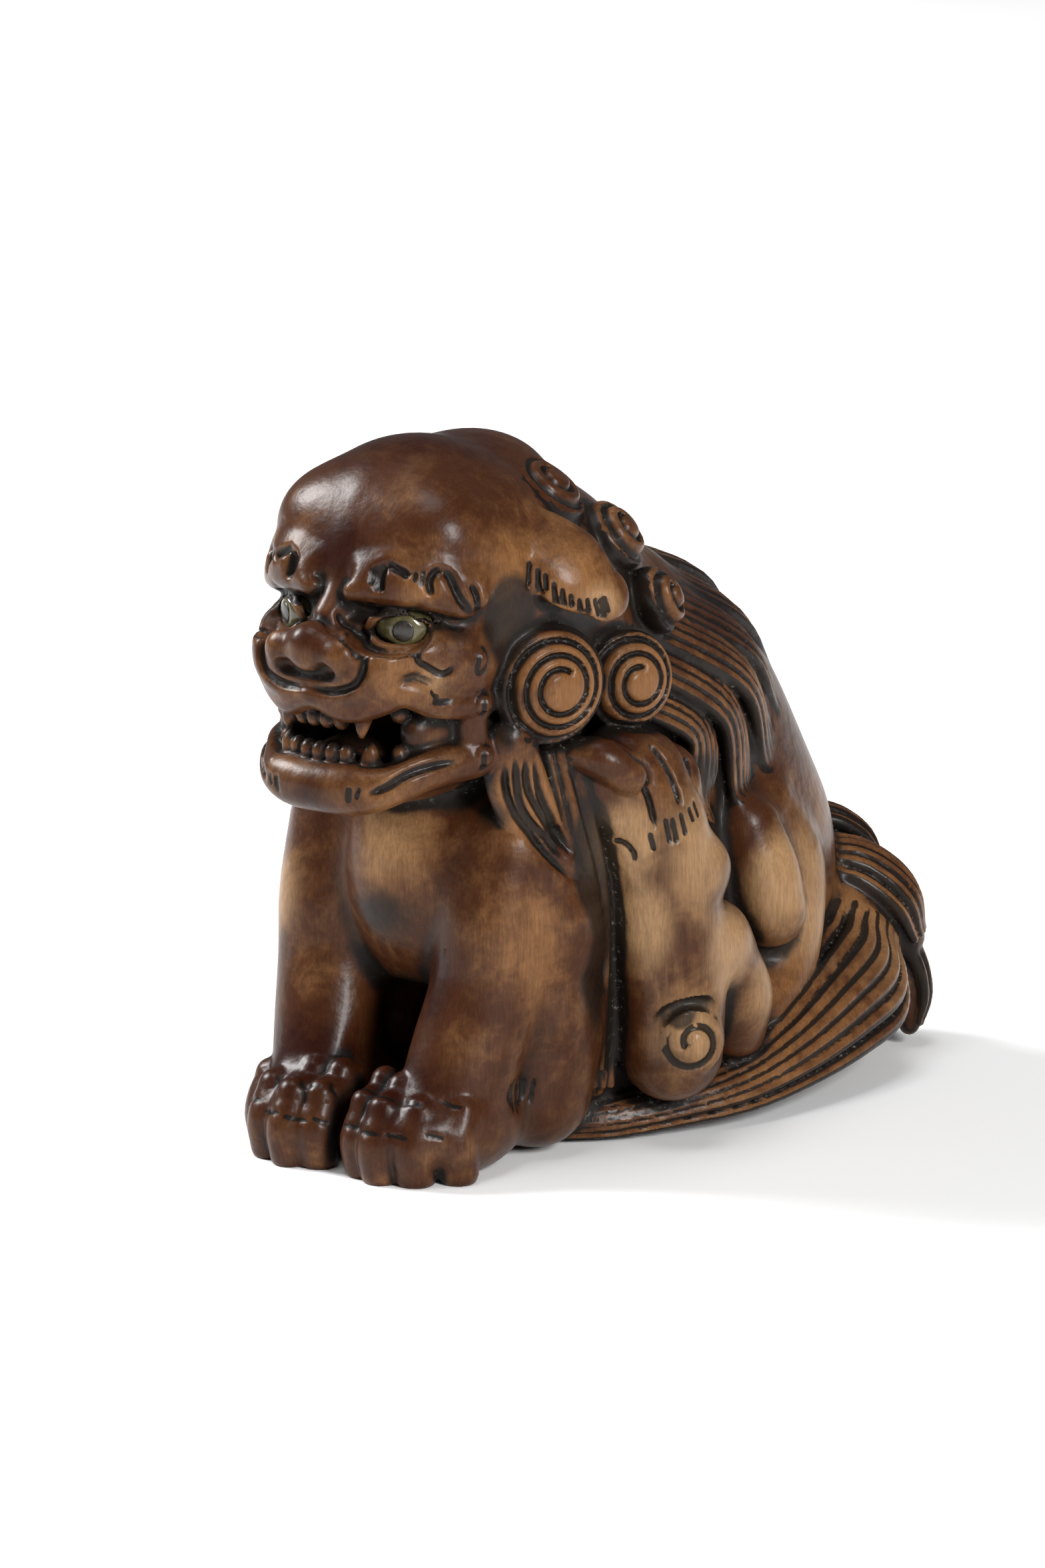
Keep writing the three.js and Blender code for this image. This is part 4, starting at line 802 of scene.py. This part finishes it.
def marksOf(values, start, cell, points):
    # how hollow and how proud each point lies, from the distance a little way out and in along its slope
    def at(p):
        return sampled(values, start, cell, p)
    step = cell*marks["step"]
    facing = np.stack([at(points + step*e) - at(points - step*e) for e in np.eye(3)], 1)
    facing /= np.maximum(np.linalg.norm(facing, axis=1), 1e-6)[:, None]
    near, middle, far = [at(points + facing*h)/h for h in marks["reaches"]]
    a, b, c = marks["counts"]
    hollow = 1 - np.clip(near*a + middle*b + far*c, 0, 1)
    back = -at(points - facing*marks["inward"])/marks["inward"]
    proud = np.clip(1 - back, 0, 1)
    return hollow, proud

def attribute(piece, name, values):
    layer = piece.data.attributes.new(name, "FLOAT", "POINT")
    layer.data.foreach_set("value", np.clip(values, 0, 1).astype(np.float32))

def carveBody():
    carve()
    fineCuts()
    socketsAndHoles()
    low = np.array(lowBody)/share + sketchOrigin - carvingSizes["around"]
    high = np.array(highBody)/share + sketchOrigin + carvingSizes["around"]
    cell = carvingSizes["cell"]*1
    values, start = grid(low, high, cell)
    points, faces = surfaceNets(values, start, cell)
    points, faces = largestSheet(points, faces)
    print("body surface", len(points), "corners")
    piece = meshOf("carvedLion", points, faces)
    thin(piece, carvingSizes["most"])
    place = np.empty(len(piece.data.vertices)*3)
    piece.data.vertices.foreach_get("co", place)
    place = place.reshape(-1, 3)
    # hollow, felt out to a millimetre, sets ink in the cuts and painted shade in the deeper recesses, as
    # well as dust and dullness
    hollow, proud = marksOf(values, start, cell, place)
    attribute(piece, "hollow", hollow)
    attribute(piece, "proud", proud)
    attribute(piece, "inkAndShade", inkOf(place))
    for name, spots in toneSpots.items():
        amount = np.zeros(len(place))
        for centre, reach, much in spots:
            amount = np.maximum(amount, blob(place, centre, reach)*much)
        attribute(piece, name, amount)
    final = np.clip((place - sketchOrigin)*share, np.array(lowBody) - carvingSizes["under"],
                    np.array(highBody) + carvingSizes["over"])
    piece.data.vertices.foreach_set("co", final.astype(np.float32).ravel())
    smooth(piece)
    print("body", len(piece.data.polygons), "triangles")
    return piece

# Where handling has left the wood tan or pale, with painted light where the side light falls on the hind
# leg, hip and tail and a painted sheen on the chest; where it was washed with ink, with painted shade in the
# mouth, under the chest and between the legs, beard and paw; and where the stain is darkest: a place, how
# far it reaches, and how much
toneSpots = {
    "tan": [
        [[5.5, -12, 29.6], [4, 4, 2.6], 0.8], [[7.8, -9, 28.4], [3, 3, 2.6], 1],
        [[3.4, -17, 24.6], [3.4, 3, 2], 1],
        [[8.4, -9.5, 23.6], [2.6, 3.6, 3.6], 1], [[9.2, -4, 23], [2.4, 3, 3], 1],
        [[7.2, -11, 18], [2.5, 3, 3.8], 1],
        [[8.6, -4.6, 18], [3, 3.4, 3], 0.6], [[8.6, 7, 8], [4, 5, 8], 0.9],
        [[0.5, -13.8, 15.5], [4, 4, 4.4], 0.7],
        [[6.4, -10.4, 11], [2.6, 3.4, 5.5], 0.8], [[7.5, 15, 6], [6, 7, 7], 0.8],
        [[9, 9, 3.4], [4, 9, 4], 0.7],
        [[3, -17.5, 19.2], [4, 3, 1.8], 0.5], [[4.5, -16, 28.9], [2, 2, 1], 0.7],
        [[-6.4, -10.4, 11], [3, 3.4, 5], 0.6], [[7, 13, 14], [4, 5, 5], 0.5],
    ],
    # paler wood from handling, and painted light: the spots on the hind leg, hip and tail paint where the
    # side light falls, and the one on the chest a painted sheen
    "paleAndLit": [
        [[0.5, -14.2, 16.2], [4, 3.6, 4], 0.55], [[-6.8, -12.8, 12], [3, 3, 4], 0.6],
        [[9.8, 9, 11], [3.6, 4.4, 4.6], 0.6], [[8, 15, 5], [5, 6, 5], 0.5],
        [[9.2, -6.4, 15.5], [2.6, 3, 3.5], 1], [[9.6, -6, 11.5], [2.6, 3, 4], 1],
        [[10.6, -3, 14.6], [3.2, 4, 5], 0.8], [[11, -1, 9.4], [3, 3.4, 4], 1],
        [[11, -3.5, 6], [3, 3, 3.4], 0.7],
        [[10.6, 2.6, 7], [2.4, 2.6, 3], 0.8], [[9.8, 5.4, 11.6], [2.6, 3, 4], 1],
        [[9, 9, 9], [3, 4, 5], 0.7],
        [[9.4, -8.4, 27.6], [1.6, 2, 1.8], 0.8], [[5.2, -16.2, 24.6], [1.4, 1.4, 1.4], 0.5],
    ],
    # ink wash and painted shade: darkens the mouth and teeth, the underside of the chest and the gaps
    # between the legs, beard and paw
    "washAndShade": [
        [[7.9, -7.4, 16.5], [1.4, 1.8, 3], 1.6],
        [[0, -12.5, 12.5], [3.5, 3, 3], 1.1], [[0, -17, 21.6], [4.5, 3, 1.2], 1.4],
        [[6.2, -11.8, 27], [2.4, 2.6, 3.4], 1.6], [[6.4, -12.2, 22.6], [1.3, 1.6, 3.4], 1.2],
        [[7.3, -7.2, 13], [2, 2.4, 12], 2],
        [[5, -11.6, 17.6], [2.6, 2.4, 1.8], 0.8], [[-5, -11.6, 17.6], [2.6, 2.4, 1.8], 1],
        [[-6.2, -11.8, 27], [2.4, 2.6, 3.4], 1.2],
        [[-7.2, -7.2, 14], [1.7, 2.2, 9], 1.2], [[0, -8.6, 6.6], [3.8, 6.4, 6.6], 1.8],
        [[8.8, 2.6, 12.6], [1.7, 1.8, 3], 1.6],
        [[7.6, 1, 17.4], [2, 3.4, 2.2], 1.4], [[0.6, -15.2, 21.8], [5.4, 4.3, 1.8], 1.9],
        [[10.9, -4.3, 6.9], [1.2, 1.6, 1.2], 1.2], [[1.4, -17.2, 27.5], [1, 1.2, 1], 1.4],
        [[-1.4, -17.2, 27.5], [1, 1.2, 1], 1.4], [[5.2, -14.4, 26.4], [1.2, 1.4, 1.4], 1.1],
        [[6.6, -7, 26], [2, 4, 2], 1],
        [[7.4, -6.8, 20.6], [2, 3, 1.4], 1.4], [[9.4, -1, 20.4], [2, 2.4, 2], 0.9],
    ],
    "dark": [
        [[-1, -10, 33.4], [7.5, 7.5, 6], 1], [[0, -16.5, 30.4], [3.4, 3, 3], 0.9],
        [[0, -18.8, 18.8], [3, 2, 2], 0.5],
        [[2.5, -15, 3.5], [5, 5, 4.4], 1], [[-3.5, -14.5, 4], [5, 5, 5], 1],
        [[-4.6, -10.5, 9], [4, 4, 6], 0.7],
        [[3.2, -13.4, 9], [2.4, 2.4, 5], 0.8], [[8, -6.4, 20.4], [2.5, 2.5, 1.6], 0.8],
        [[0, -19.4, 26.6], [2, 2, 1.2], 0.5], [[4, 6, 24], [5, 6, 5], 0.6], [[0, 14, 16], [6, 6, 9], 0.5],
    ],
}

# The eyes

eyeSizes = {
    "length": 3.0*mm, "height": 1.9*mm, "depth": 2.3*mm, "turn": 29.5,
    "pupil": 1.0*mm, "pupilDepth": 0.9*mm, "proud": 0.01*mm, "ring": 0.06*mm, "ringDepth": 0.3,
    "around": 96, "pupilAround": 48, "rows": 96,
    "gap": 0.06,              # between the eye and its socket, in shares of the height
    "socketEdge": 0.05,       # how softly the socket's edge is rounded
    "flare": 1.2,             # how soon the round about the pupil turns into the eye's oval
    "pegEnd": 0.5,            # the peg's inner end against its front
}

def eyeBasis(name):
    low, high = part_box(name)
    centre = np.array(low + high)/2
    turn = np.radians(eyeSizes["turn"])*(1 if centre[0] > 0 else -1)
    look = np.array([np.sin(turn), -np.cos(turn), 0])
    return centre, np.stack([np.cross(look, [0, 0, 1]), look, [0, 0, 1]], 1)

def turnedForm(name, profile, squash, centre, basis, around):
    # a profile of radius and depth turned about the line of sight, each ring squashed to the eye's oval
    angle = np.linspace(0, 2*np.pi, around, endpoint=False)
    radius, depth = profile[1:-1, 0][:, None], profile[1:-1, 1][:, None]
    wide, tall = squash[1:-1, 0][:, None], squash[1:-1, 1][:, None]
    rings = np.stack([radius*np.cos(angle)*wide, depth + 0*angle, radius*np.sin(angle)*tall], 2)
    points = np.vstack([rings.reshape(-1, 3), [[0, profile[0, 1], 0]], [[0, profile[-1, 1], 0]]])
    rows = len(profile) - 2
    i, j = np.meshgrid(np.arange(rows - 1), np.arange(around), indexing="ij")
    i, j, k = i.ravel(), j.ravel(), (j.ravel() + 1) % around
    sides = np.stack([i*around + j, i*around + k, (i + 1)*around + k, (i + 1)*around + j], 1)
    triangles = np.vstack([sides[:, [0, 1, 2]], sides[:, [0, 2, 3]]])
    ring = np.arange(around)
    first = np.stack([np.full(around, rows*around), (ring + 1) % around, ring], 1)
    last = np.stack([np.full(around, rows*around + 1), (rows - 1)*around + ring,
                     (rows - 1)*around + (ring + 1) % around], 1)
    piece = meshOf(name, points @ basis.T + centre, np.vstack([triangles, first, last]))
    mesh = bmesh.new()
    mesh.from_mesh(piece.data)
    bmesh.ops.recalc_face_normals(mesh, faces=mesh.faces)
    mesh.to_mesh(piece.data)
    mesh.free()
    smooth(piece)
    return piece

def hornEye(name, node):
    # an ellipsoid: radius sin(a), depth cos(a), with a shallow ring cut round the pupil
    centre, basis = eyeBasis(node)
    a = np.linspace(0, np.pi, eyeSizes["rows"])
    pupil = eyeSizes["pupil"]/2 + eyeSizes["ring"]
    radius = np.sin(a)*eyeSizes["length"]/2
    depth = np.cos(a)*eyeSizes["depth"]/2
    rim = np.exp(-((radius - pupil)/eyeSizes["ring"])**2)*(depth > 0)*eyeSizes["ring"]*eyeSizes["ringDepth"]
    tall = eyeSizes["height"]/eyeSizes["length"]
    near = np.clip((radius - pupil)/(pupil*eyeSizes["flare"]), 0, 1)
    squash = np.stack([np.ones_like(a), 1 + (tall - 1)*near*near*(3 - 2*near)], 1)
    piece = turnedForm(name, np.stack([radius, depth - rim], 1), squash, centre, basis, eyeSizes["around"])
    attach(piece, "root")
    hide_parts(node)
    piece.data.materials.append(hornFinish())
    return piece

def pupilPeg(name, node, eye):
    # a short round peg whose front is part of the eye's curve
    centre, basis = eyeBasis(eye)
    half = eyeSizes["pupil"]/2
    r = np.linspace(0, half, 10)
    front = np.sqrt(1 - (r/(eyeSizes["length"]/2))**2)*eyeSizes["depth"]/2 + eyeSizes["proud"]
    back = eyeSizes["depth"]/2 - eyeSizes["pupilDepth"]
    end = half*eyeSizes["pegEnd"]
    profile = np.vstack([np.stack([r, front], 1), [[half, back], [end, back], [0, back]]])
    piece = turnedForm(name, profile, np.ones_like(profile), centre, basis, eyeSizes["pupilAround"])
    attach(piece, "root")
    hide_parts(node)
    piece.data.materials.append(pupilFinish())
    return piece

# The finishes

class Finish:
    # small helpers that add one node each and join it up
    def __init__(self, name):
        self.material = bpy.data.materials.new(name)
        self.material.use_nodes = True
        self.nodes, self.links = self.material.node_tree.nodes, self.material.node_tree.links
        self.nodes.clear()
        output = self.nodes.new("ShaderNodeOutputMaterial")
        self.shader = self.nodes.new("ShaderNodeBsdfPrincipled")
        self.links.new(self.shader.outputs["BSDF"], output.inputs["Surface"])
        coordinates = self.nodes.new("ShaderNodeTexCoord")
        self.place = self.scaled(coordinates.outputs["Object"], (1/mm, 1/mm, 1/mm))

    def join(self, value, socket):
        if isinstance(value, bpy.types.NodeSocket):
            self.links.new(value, socket)
        else:
            socket.default_value = value

    def scaled(self, vector, by):
        node = self.nodes.new("ShaderNodeVectorMath")
        node.operation = "MULTIPLY"
        self.join(vector, node.inputs[0])
        node.inputs[1].default_value = by
        return node.outputs[0]

    def math(self, operation, a, b):
        node = self.nodes.new("ShaderNodeMath")
        node.operation = operation
        self.join(a, node.inputs[0])
        self.join(b, node.inputs[1])
        return node.outputs[0]

    def spread(self, noise, amount):
        # a noise that goes both ways from nothing, by half the amount each way
        return self.math("MULTIPLY", self.math("SUBTRACT", noise, 0.5), amount)

    def noise(self, vector, scale, detail=3.0, rough=0.55, distortion=0.0):
        node = self.nodes.new("ShaderNodeTexNoise")
        self.join(vector, node.inputs["Vector"])
        node.inputs["Scale"].default_value = scale
        node.inputs["Detail"].default_value = detail
        node.inputs["Roughness"].default_value = rough
        node.inputs["Distortion"].default_value = distortion
        return node.outputs["Fac"]

    def span(self, value, low, high, a=0.0, b=1.0):
        node = self.nodes.new("ShaderNodeMapRange")
        node.interpolation_type = "SMOOTHSTEP"
        self.join(value, node.inputs["Value"])
        for name, number in (("From Min", low), ("From Max", high), ("To Min", a), ("To Max", b)):
            node.inputs[name].default_value = number
        return node.outputs["Result"]

    def mix(self, amount, a, b, way="MIX"):
        node = self.nodes.new("ShaderNodeMix")
        node.data_type = "RGBA"
        node.blend_type = way
        self.join(amount, node.inputs["Factor"])
        self.join(a, node.inputs[6])
        self.join(b, node.inputs[7])
        return node.outputs[2]

    def mark(self, name):
        node = self.nodes.new("ShaderNodeAttribute")
        node.attribute_name = name
        return node.outputs["Fac"]

    def bump(self, height, distance, strength, normal=None):
        node = self.nodes.new("ShaderNodeBump")
        node.inputs["Strength"].default_value = strength
        node.inputs["Distance"].default_value = distance
        self.join(height, node.inputs["Height"])
        if normal is not None:
            self.links.new(normal, node.inputs["Normal"])
        return node.outputs["Normal"]

def rgb(red, green, blue):
    # a colour read off a screen, turned to the linear values that a shader takes
    c = np.array([red, green, blue])/255
    return (*np.where(c < 0.04045, c/12.92, ((c + 0.055)/1.055)**2.4), 1.0)

woodLooks = {
    "darkStain": rgb(38, 12, 5),
    "stain": rgb(60, 32, 16),
    "worn": rgb(118, 80, 47),
    # paler wood, also the colour of the painted light and sheen
    "paleAndLit": rgb(146, 113, 79),
    # the near black of ink, which also paints the shade in recesses
    "inkAndShade": rgb(17, 15, 13),
    "dust": rgb(150, 148, 140),
    "clouds": (0.32, 4, 0.6, 0.6),     # noises: how many to a millimetre, detail, roughness and distortion
    "patches": (1.1, 4, 0.62, 0.4),
    "rubbing": (0.9, 3, 0.5),
    "specks": (3.2, 5, 0.7),
    "fibres": (9.0, 9.0, 0.7),         # the grain runs up: how many to a millimetre along x, y and z
    "fineFibres": (26.0, 26.0, 2.2),
    "fibreRelief": 0.02*mm,
    "rubbedRelief": 0.12*mm,
    "polish": 0.31,           # roughness where hands have rubbed
    "dull": 0.58,             # roughness in the hollows
    "shine": 0.16,
    "coat": 0.035,
    "coatRoughness": 0.12,
}

def woodFinish():
    f = Finish("stainedBoxwood")
    looks = woodLooks
    place = f.place
    hollow = f.mark("hollow")
    proud = f.mark("proud")
    cloud = f.noise(place, *looks["clouds"])
    patch = f.noise(place, *looks["patches"])
    fibre = f.noise(f.scaled(place, looks["fibres"]), 1.0, 4, 0.6)
    fine = f.noise(f.scaled(place, looks["fineFibres"]), 1.0, 3, 0.6)
    # worn: painted tan places and proud ridges, broken up by clouds
    worn = f.math("ADD", f.mark("tan"), f.math("MULTIPLY", proud, 0.55))
    worn = f.math("ADD", worn, f.spread(cloud, 1.5))
    worn = f.math("ADD", worn, f.spread(patch, 1.2))
    worn = f.math("SUBTRACT", worn, f.math("MULTIPLY", f.mark("dark"), 0.9))
    worn = f.math("SUBTRACT", worn, hollow)
    wornShare = f.span(worn, -0.25, 1.05)
    dark = f.math("SUBTRACT", f.mark("dark"), f.math("MULTIPLY", f.mark("paleAndLit"), 0.5))
    darkShare = f.span(f.math("ADD", dark, f.spread(patch, 0.9)), 0.15, 0.8)
    colour = f.mix(wornShare, looks["stain"], looks["worn"])
    # paler wood from handling, and painted light where the side light falls on the hind leg, hip and tail,
    # with a painted sheen on the chest
    paleAndLitAmount = f.math("ADD", f.mark("paleAndLit"), f.spread(cloud, 0.7))
    colour = f.mix(f.span(paleAndLitAmount, 0.0, 0.8), colour, looks["paleAndLit"])
    colour = f.mix(f.math("MULTIPLY", darkShare, 0.94), colour, looks["darkStain"])
    grain = f.math("ADD", f.math("MULTIPLY", fibre, 0.6), f.math("MULTIPLY", fine, 0.4))
    streak = f.span(grain, 0.36, 0.66, 0.78, 1.16)
    colour = f.mix(1.0, colour, streak, "MULTIPLY")
    # ink and painted shade: ink in the bottoms of cuts and along the strokes; the hollow measure, felt a
    # millimetre out, also darkens the deeper recesses as painted shade, and the wash spots add an ink wash
    # and painted shade
    inkAndShadeNoise = f.spread(patch, 0.35)
    inkAndShade = f.span(f.math("ADD", hollow, inkAndShadeNoise), 0.14, 0.38)
    # the ink wash and the painted shade of the wash spots
    washAndShade = f.span(f.math("ADD", f.mark("washAndShade"), f.spread(cloud, 0.9)), 0.3, 0.75)
    inkAndShade = f.math("MAXIMUM", inkAndShade, f.math("MULTIPLY", washAndShade, 0.9))
    cuts = f.span(f.math("ADD", f.mark("inkAndShade"), inkAndShadeNoise), 0.3, 0.6)
    inkAndShade = f.math("MAXIMUM", inkAndShade, cuts)
    inkedAndShaded = f.mix(f.math("MULTIPLY", inkAndShade, 0.93), colour, looks["inkAndShade"])
    # dust caught in the deepest cuts
    specks = f.span(f.noise(place, *looks["specks"]), 0.56, 0.68)
    dust = f.math("MULTIPLY", f.math("MULTIPLY", f.span(hollow, 0.4, 0.7), specks), 0.4)
    dusty = f.mix(dust, inkedAndShaded, looks["dust"])
    f.links.new(dusty, f.shader.inputs["Base Color"])
    rough = f.math("ADD", hollow, f.math("MULTIPLY", patch, 0.3))
    rough = f.span(rough, 0.2, 0.7, looks["polish"], looks["dull"])
    f.links.new(rough, f.shader.inputs["Roughness"])
    f.shader.inputs["Specular IOR Level"].default_value = looks["shine"]
    f.shader.inputs["Coat Weight"].default_value = looks["coat"]
    f.shader.inputs["Coat Roughness"].default_value = looks["coatRoughness"]
    relief = f.math("ADD", f.math("MULTIPLY", fine, 0.5), f.math("MULTIPLY", fibre, 0.5))
    normal = f.bump(relief, looks["fibreRelief"], 0.35)
    rubbed = f.noise(place, *looks["rubbing"])
    normal = f.bump(rubbed, looks["rubbedRelief"], 0.5, normal)
    f.links.new(normal, f.shader.inputs["Normal"])
    return f.material

hornLooks = {
    "olive": rgb(70, 64, 41), "paleOlive": rgb(92, 85, 56), "coat": 0.2, "coatRoughness": 0.05,
    "dark": rgb(30, 26, 24), "grey": rgb(52, 46, 42),
}

def hornFinish():
    f = Finish("oliveHorn")
    cloud = f.noise(f.place, 1.6, 3, 0.6)
    colour = f.mix(f.span(cloud, 0.35, 0.65), hornLooks["olive"], hornLooks["paleOlive"])
    f.links.new(colour, f.shader.inputs["Base Color"])
    f.links.new(f.span(cloud, 0.3, 0.7, 0.14, 0.24), f.shader.inputs["Roughness"])
    f.shader.inputs["Coat Weight"].default_value = hornLooks["coat"]
    f.shader.inputs["Coat Roughness"].default_value = hornLooks["coatRoughness"]
    return f.material

def pupilFinish():
    f = Finish("darkHorn")
    cloud = f.noise(f.place, 3.0, 3, 0.6)
    colour = f.mix(f.span(cloud, 0.35, 0.65), hornLooks["dark"], hornLooks["grey"])
    f.links.new(colour, f.shader.inputs["Base Color"])
    f.links.new(f.span(cloud, 0.3, 0.7, 0.18, 0.32), f.shader.inputs["Roughness"])
    return f.material

# The stage: floor, lights and camera

stageSizes = {
    "floor": 3.0,             # how far the floor reaches each way
    "paper": rgb(246, 246, 246),
    "palePaper": rgb(250, 250, 250),
    "room": 0.16,             # the light that comes from all round
    "key": {"place": (-0.52, -0.16, 0.4), "size": (0.24, 0.24), "watts": 6.5},
    "top": {"place": (0, -0.1, 0.6), "size": (0.3, 0.3), "watts": 1.4},
    "side": {"place": (0.55, -0.2, 0.3), "size": (0.12, 0.24), "watts": 4},
    "aim": (0, 0, 0.016),     # the lights' aim, near half way up the lion
}

def floorSheet():
    reach = stageSizes["floor"]
    points = np.array([[x, y, 0.0] for y in (-reach, reach) for x in (-reach, reach)])
    piece = meshOf("floor", points, np.array([[0, 1, 3, 2]]))
    f = Finish("palePaper")
    tint = f.noise(f.place, 0.02, 2)
    colour = f.mix(f.span(tint, 0.3, 0.7), stageSizes["paper"], stageSizes["palePaper"])
    f.links.new(colour, f.shader.inputs["Base Color"])
    f.shader.inputs["Roughness"].default_value = 0.9
    f.shader.inputs["Specular IOR Level"].default_value = 0.1
    piece.data.materials.append(f.material)

# The photo's view: degrees round from the front and above, metres away, and the place on the lion that lies
# at a pixel of the frame
viewSizes = {
    "around": 37.0, "above": 13.0, "distance": 0.42, "perMm": 31.25,
    "aimed": (4.7*mm, -5.4*mm, 16.5*mm), "aimedAt": (886, 1206), "frame": (1568, 2352), "sensor": 36.0,
}

def addCamera():
    v = viewSizes
    a, e = np.radians(v["around"]), np.radians(v["above"])
    right = np.array([np.cos(a), np.sin(a), 0])
    into = np.array([-np.sin(a)*np.cos(e), np.cos(a)*np.cos(e), -np.sin(e)])
    up = np.cross(right, into)
    middle = np.array(v["frame"])/2
    off = (middle - v["aimedAt"])/v["perMm"]*mm
    aim = np.array(v["aimed"]) + off[0]*right - off[1]*up
    place = aim - into*v["distance"]
    data = bpy.data.cameras.new("camera")
    data.sensor_fit = "VERTICAL"
    data.sensor_height = v["sensor"]
    data.sensor_width = v["sensor"]
    data.lens = v["sensor"]*v["distance"]/(v["frame"][1]/v["perMm"]*mm)
    data.clip_start = 0.01
    camera = bpy.data.objects.new("camera", data)
    camera.matrix_world = Matrix(np.block([[np.stack([right, up, -into], 1), place[:, None]],
                                           [np.array([[0, 0, 0, 1.0]])]]).tolist())
    bpy.context.scene.collection.objects.link(camera)
    bpy.context.scene.camera = camera

def softLight(name, place, size, watts):
    data = bpy.data.lights.new(name, "AREA")
    data.shape = "RECTANGLE"
    data.size, data.size_y = size
    data.energy = watts
    light = bpy.data.objects.new(name, data)
    light.location = place
    light.rotation_euler = (Vector(stageSizes["aim"]) - Vector(place)).to_track_quat("-Z", "Y").to_euler()
    bpy.context.scene.collection.objects.link(light)

def addLights():
    bpy.context.scene.view_settings.view_transform = "Standard"
    world = bpy.data.worlds.new("paleRoom")
    world.use_nodes = True
    world.node_tree.nodes["Background"].inputs["Color"].default_value = (1, 1, 1, 1)
    world.node_tree.nodes["Background"].inputs["Strength"].default_value = stageSizes["room"]
    bpy.context.scene.world = world
    for name in ("key", "top", "side"):
        softLight(name + "Light", **stageSizes[name])

body = carveBody()
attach(body, "root")
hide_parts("body")
body.data.materials.append(woodFinish())
for way in ("left", "right"):
    hornEye(way + "Eye", "eye_" + way)
    pupilPeg(way + "Pupil", "pupil_" + way, "eye_" + way)
print("eyes done")
floorSheet()
addLights()
addCamera()
print("stage done")
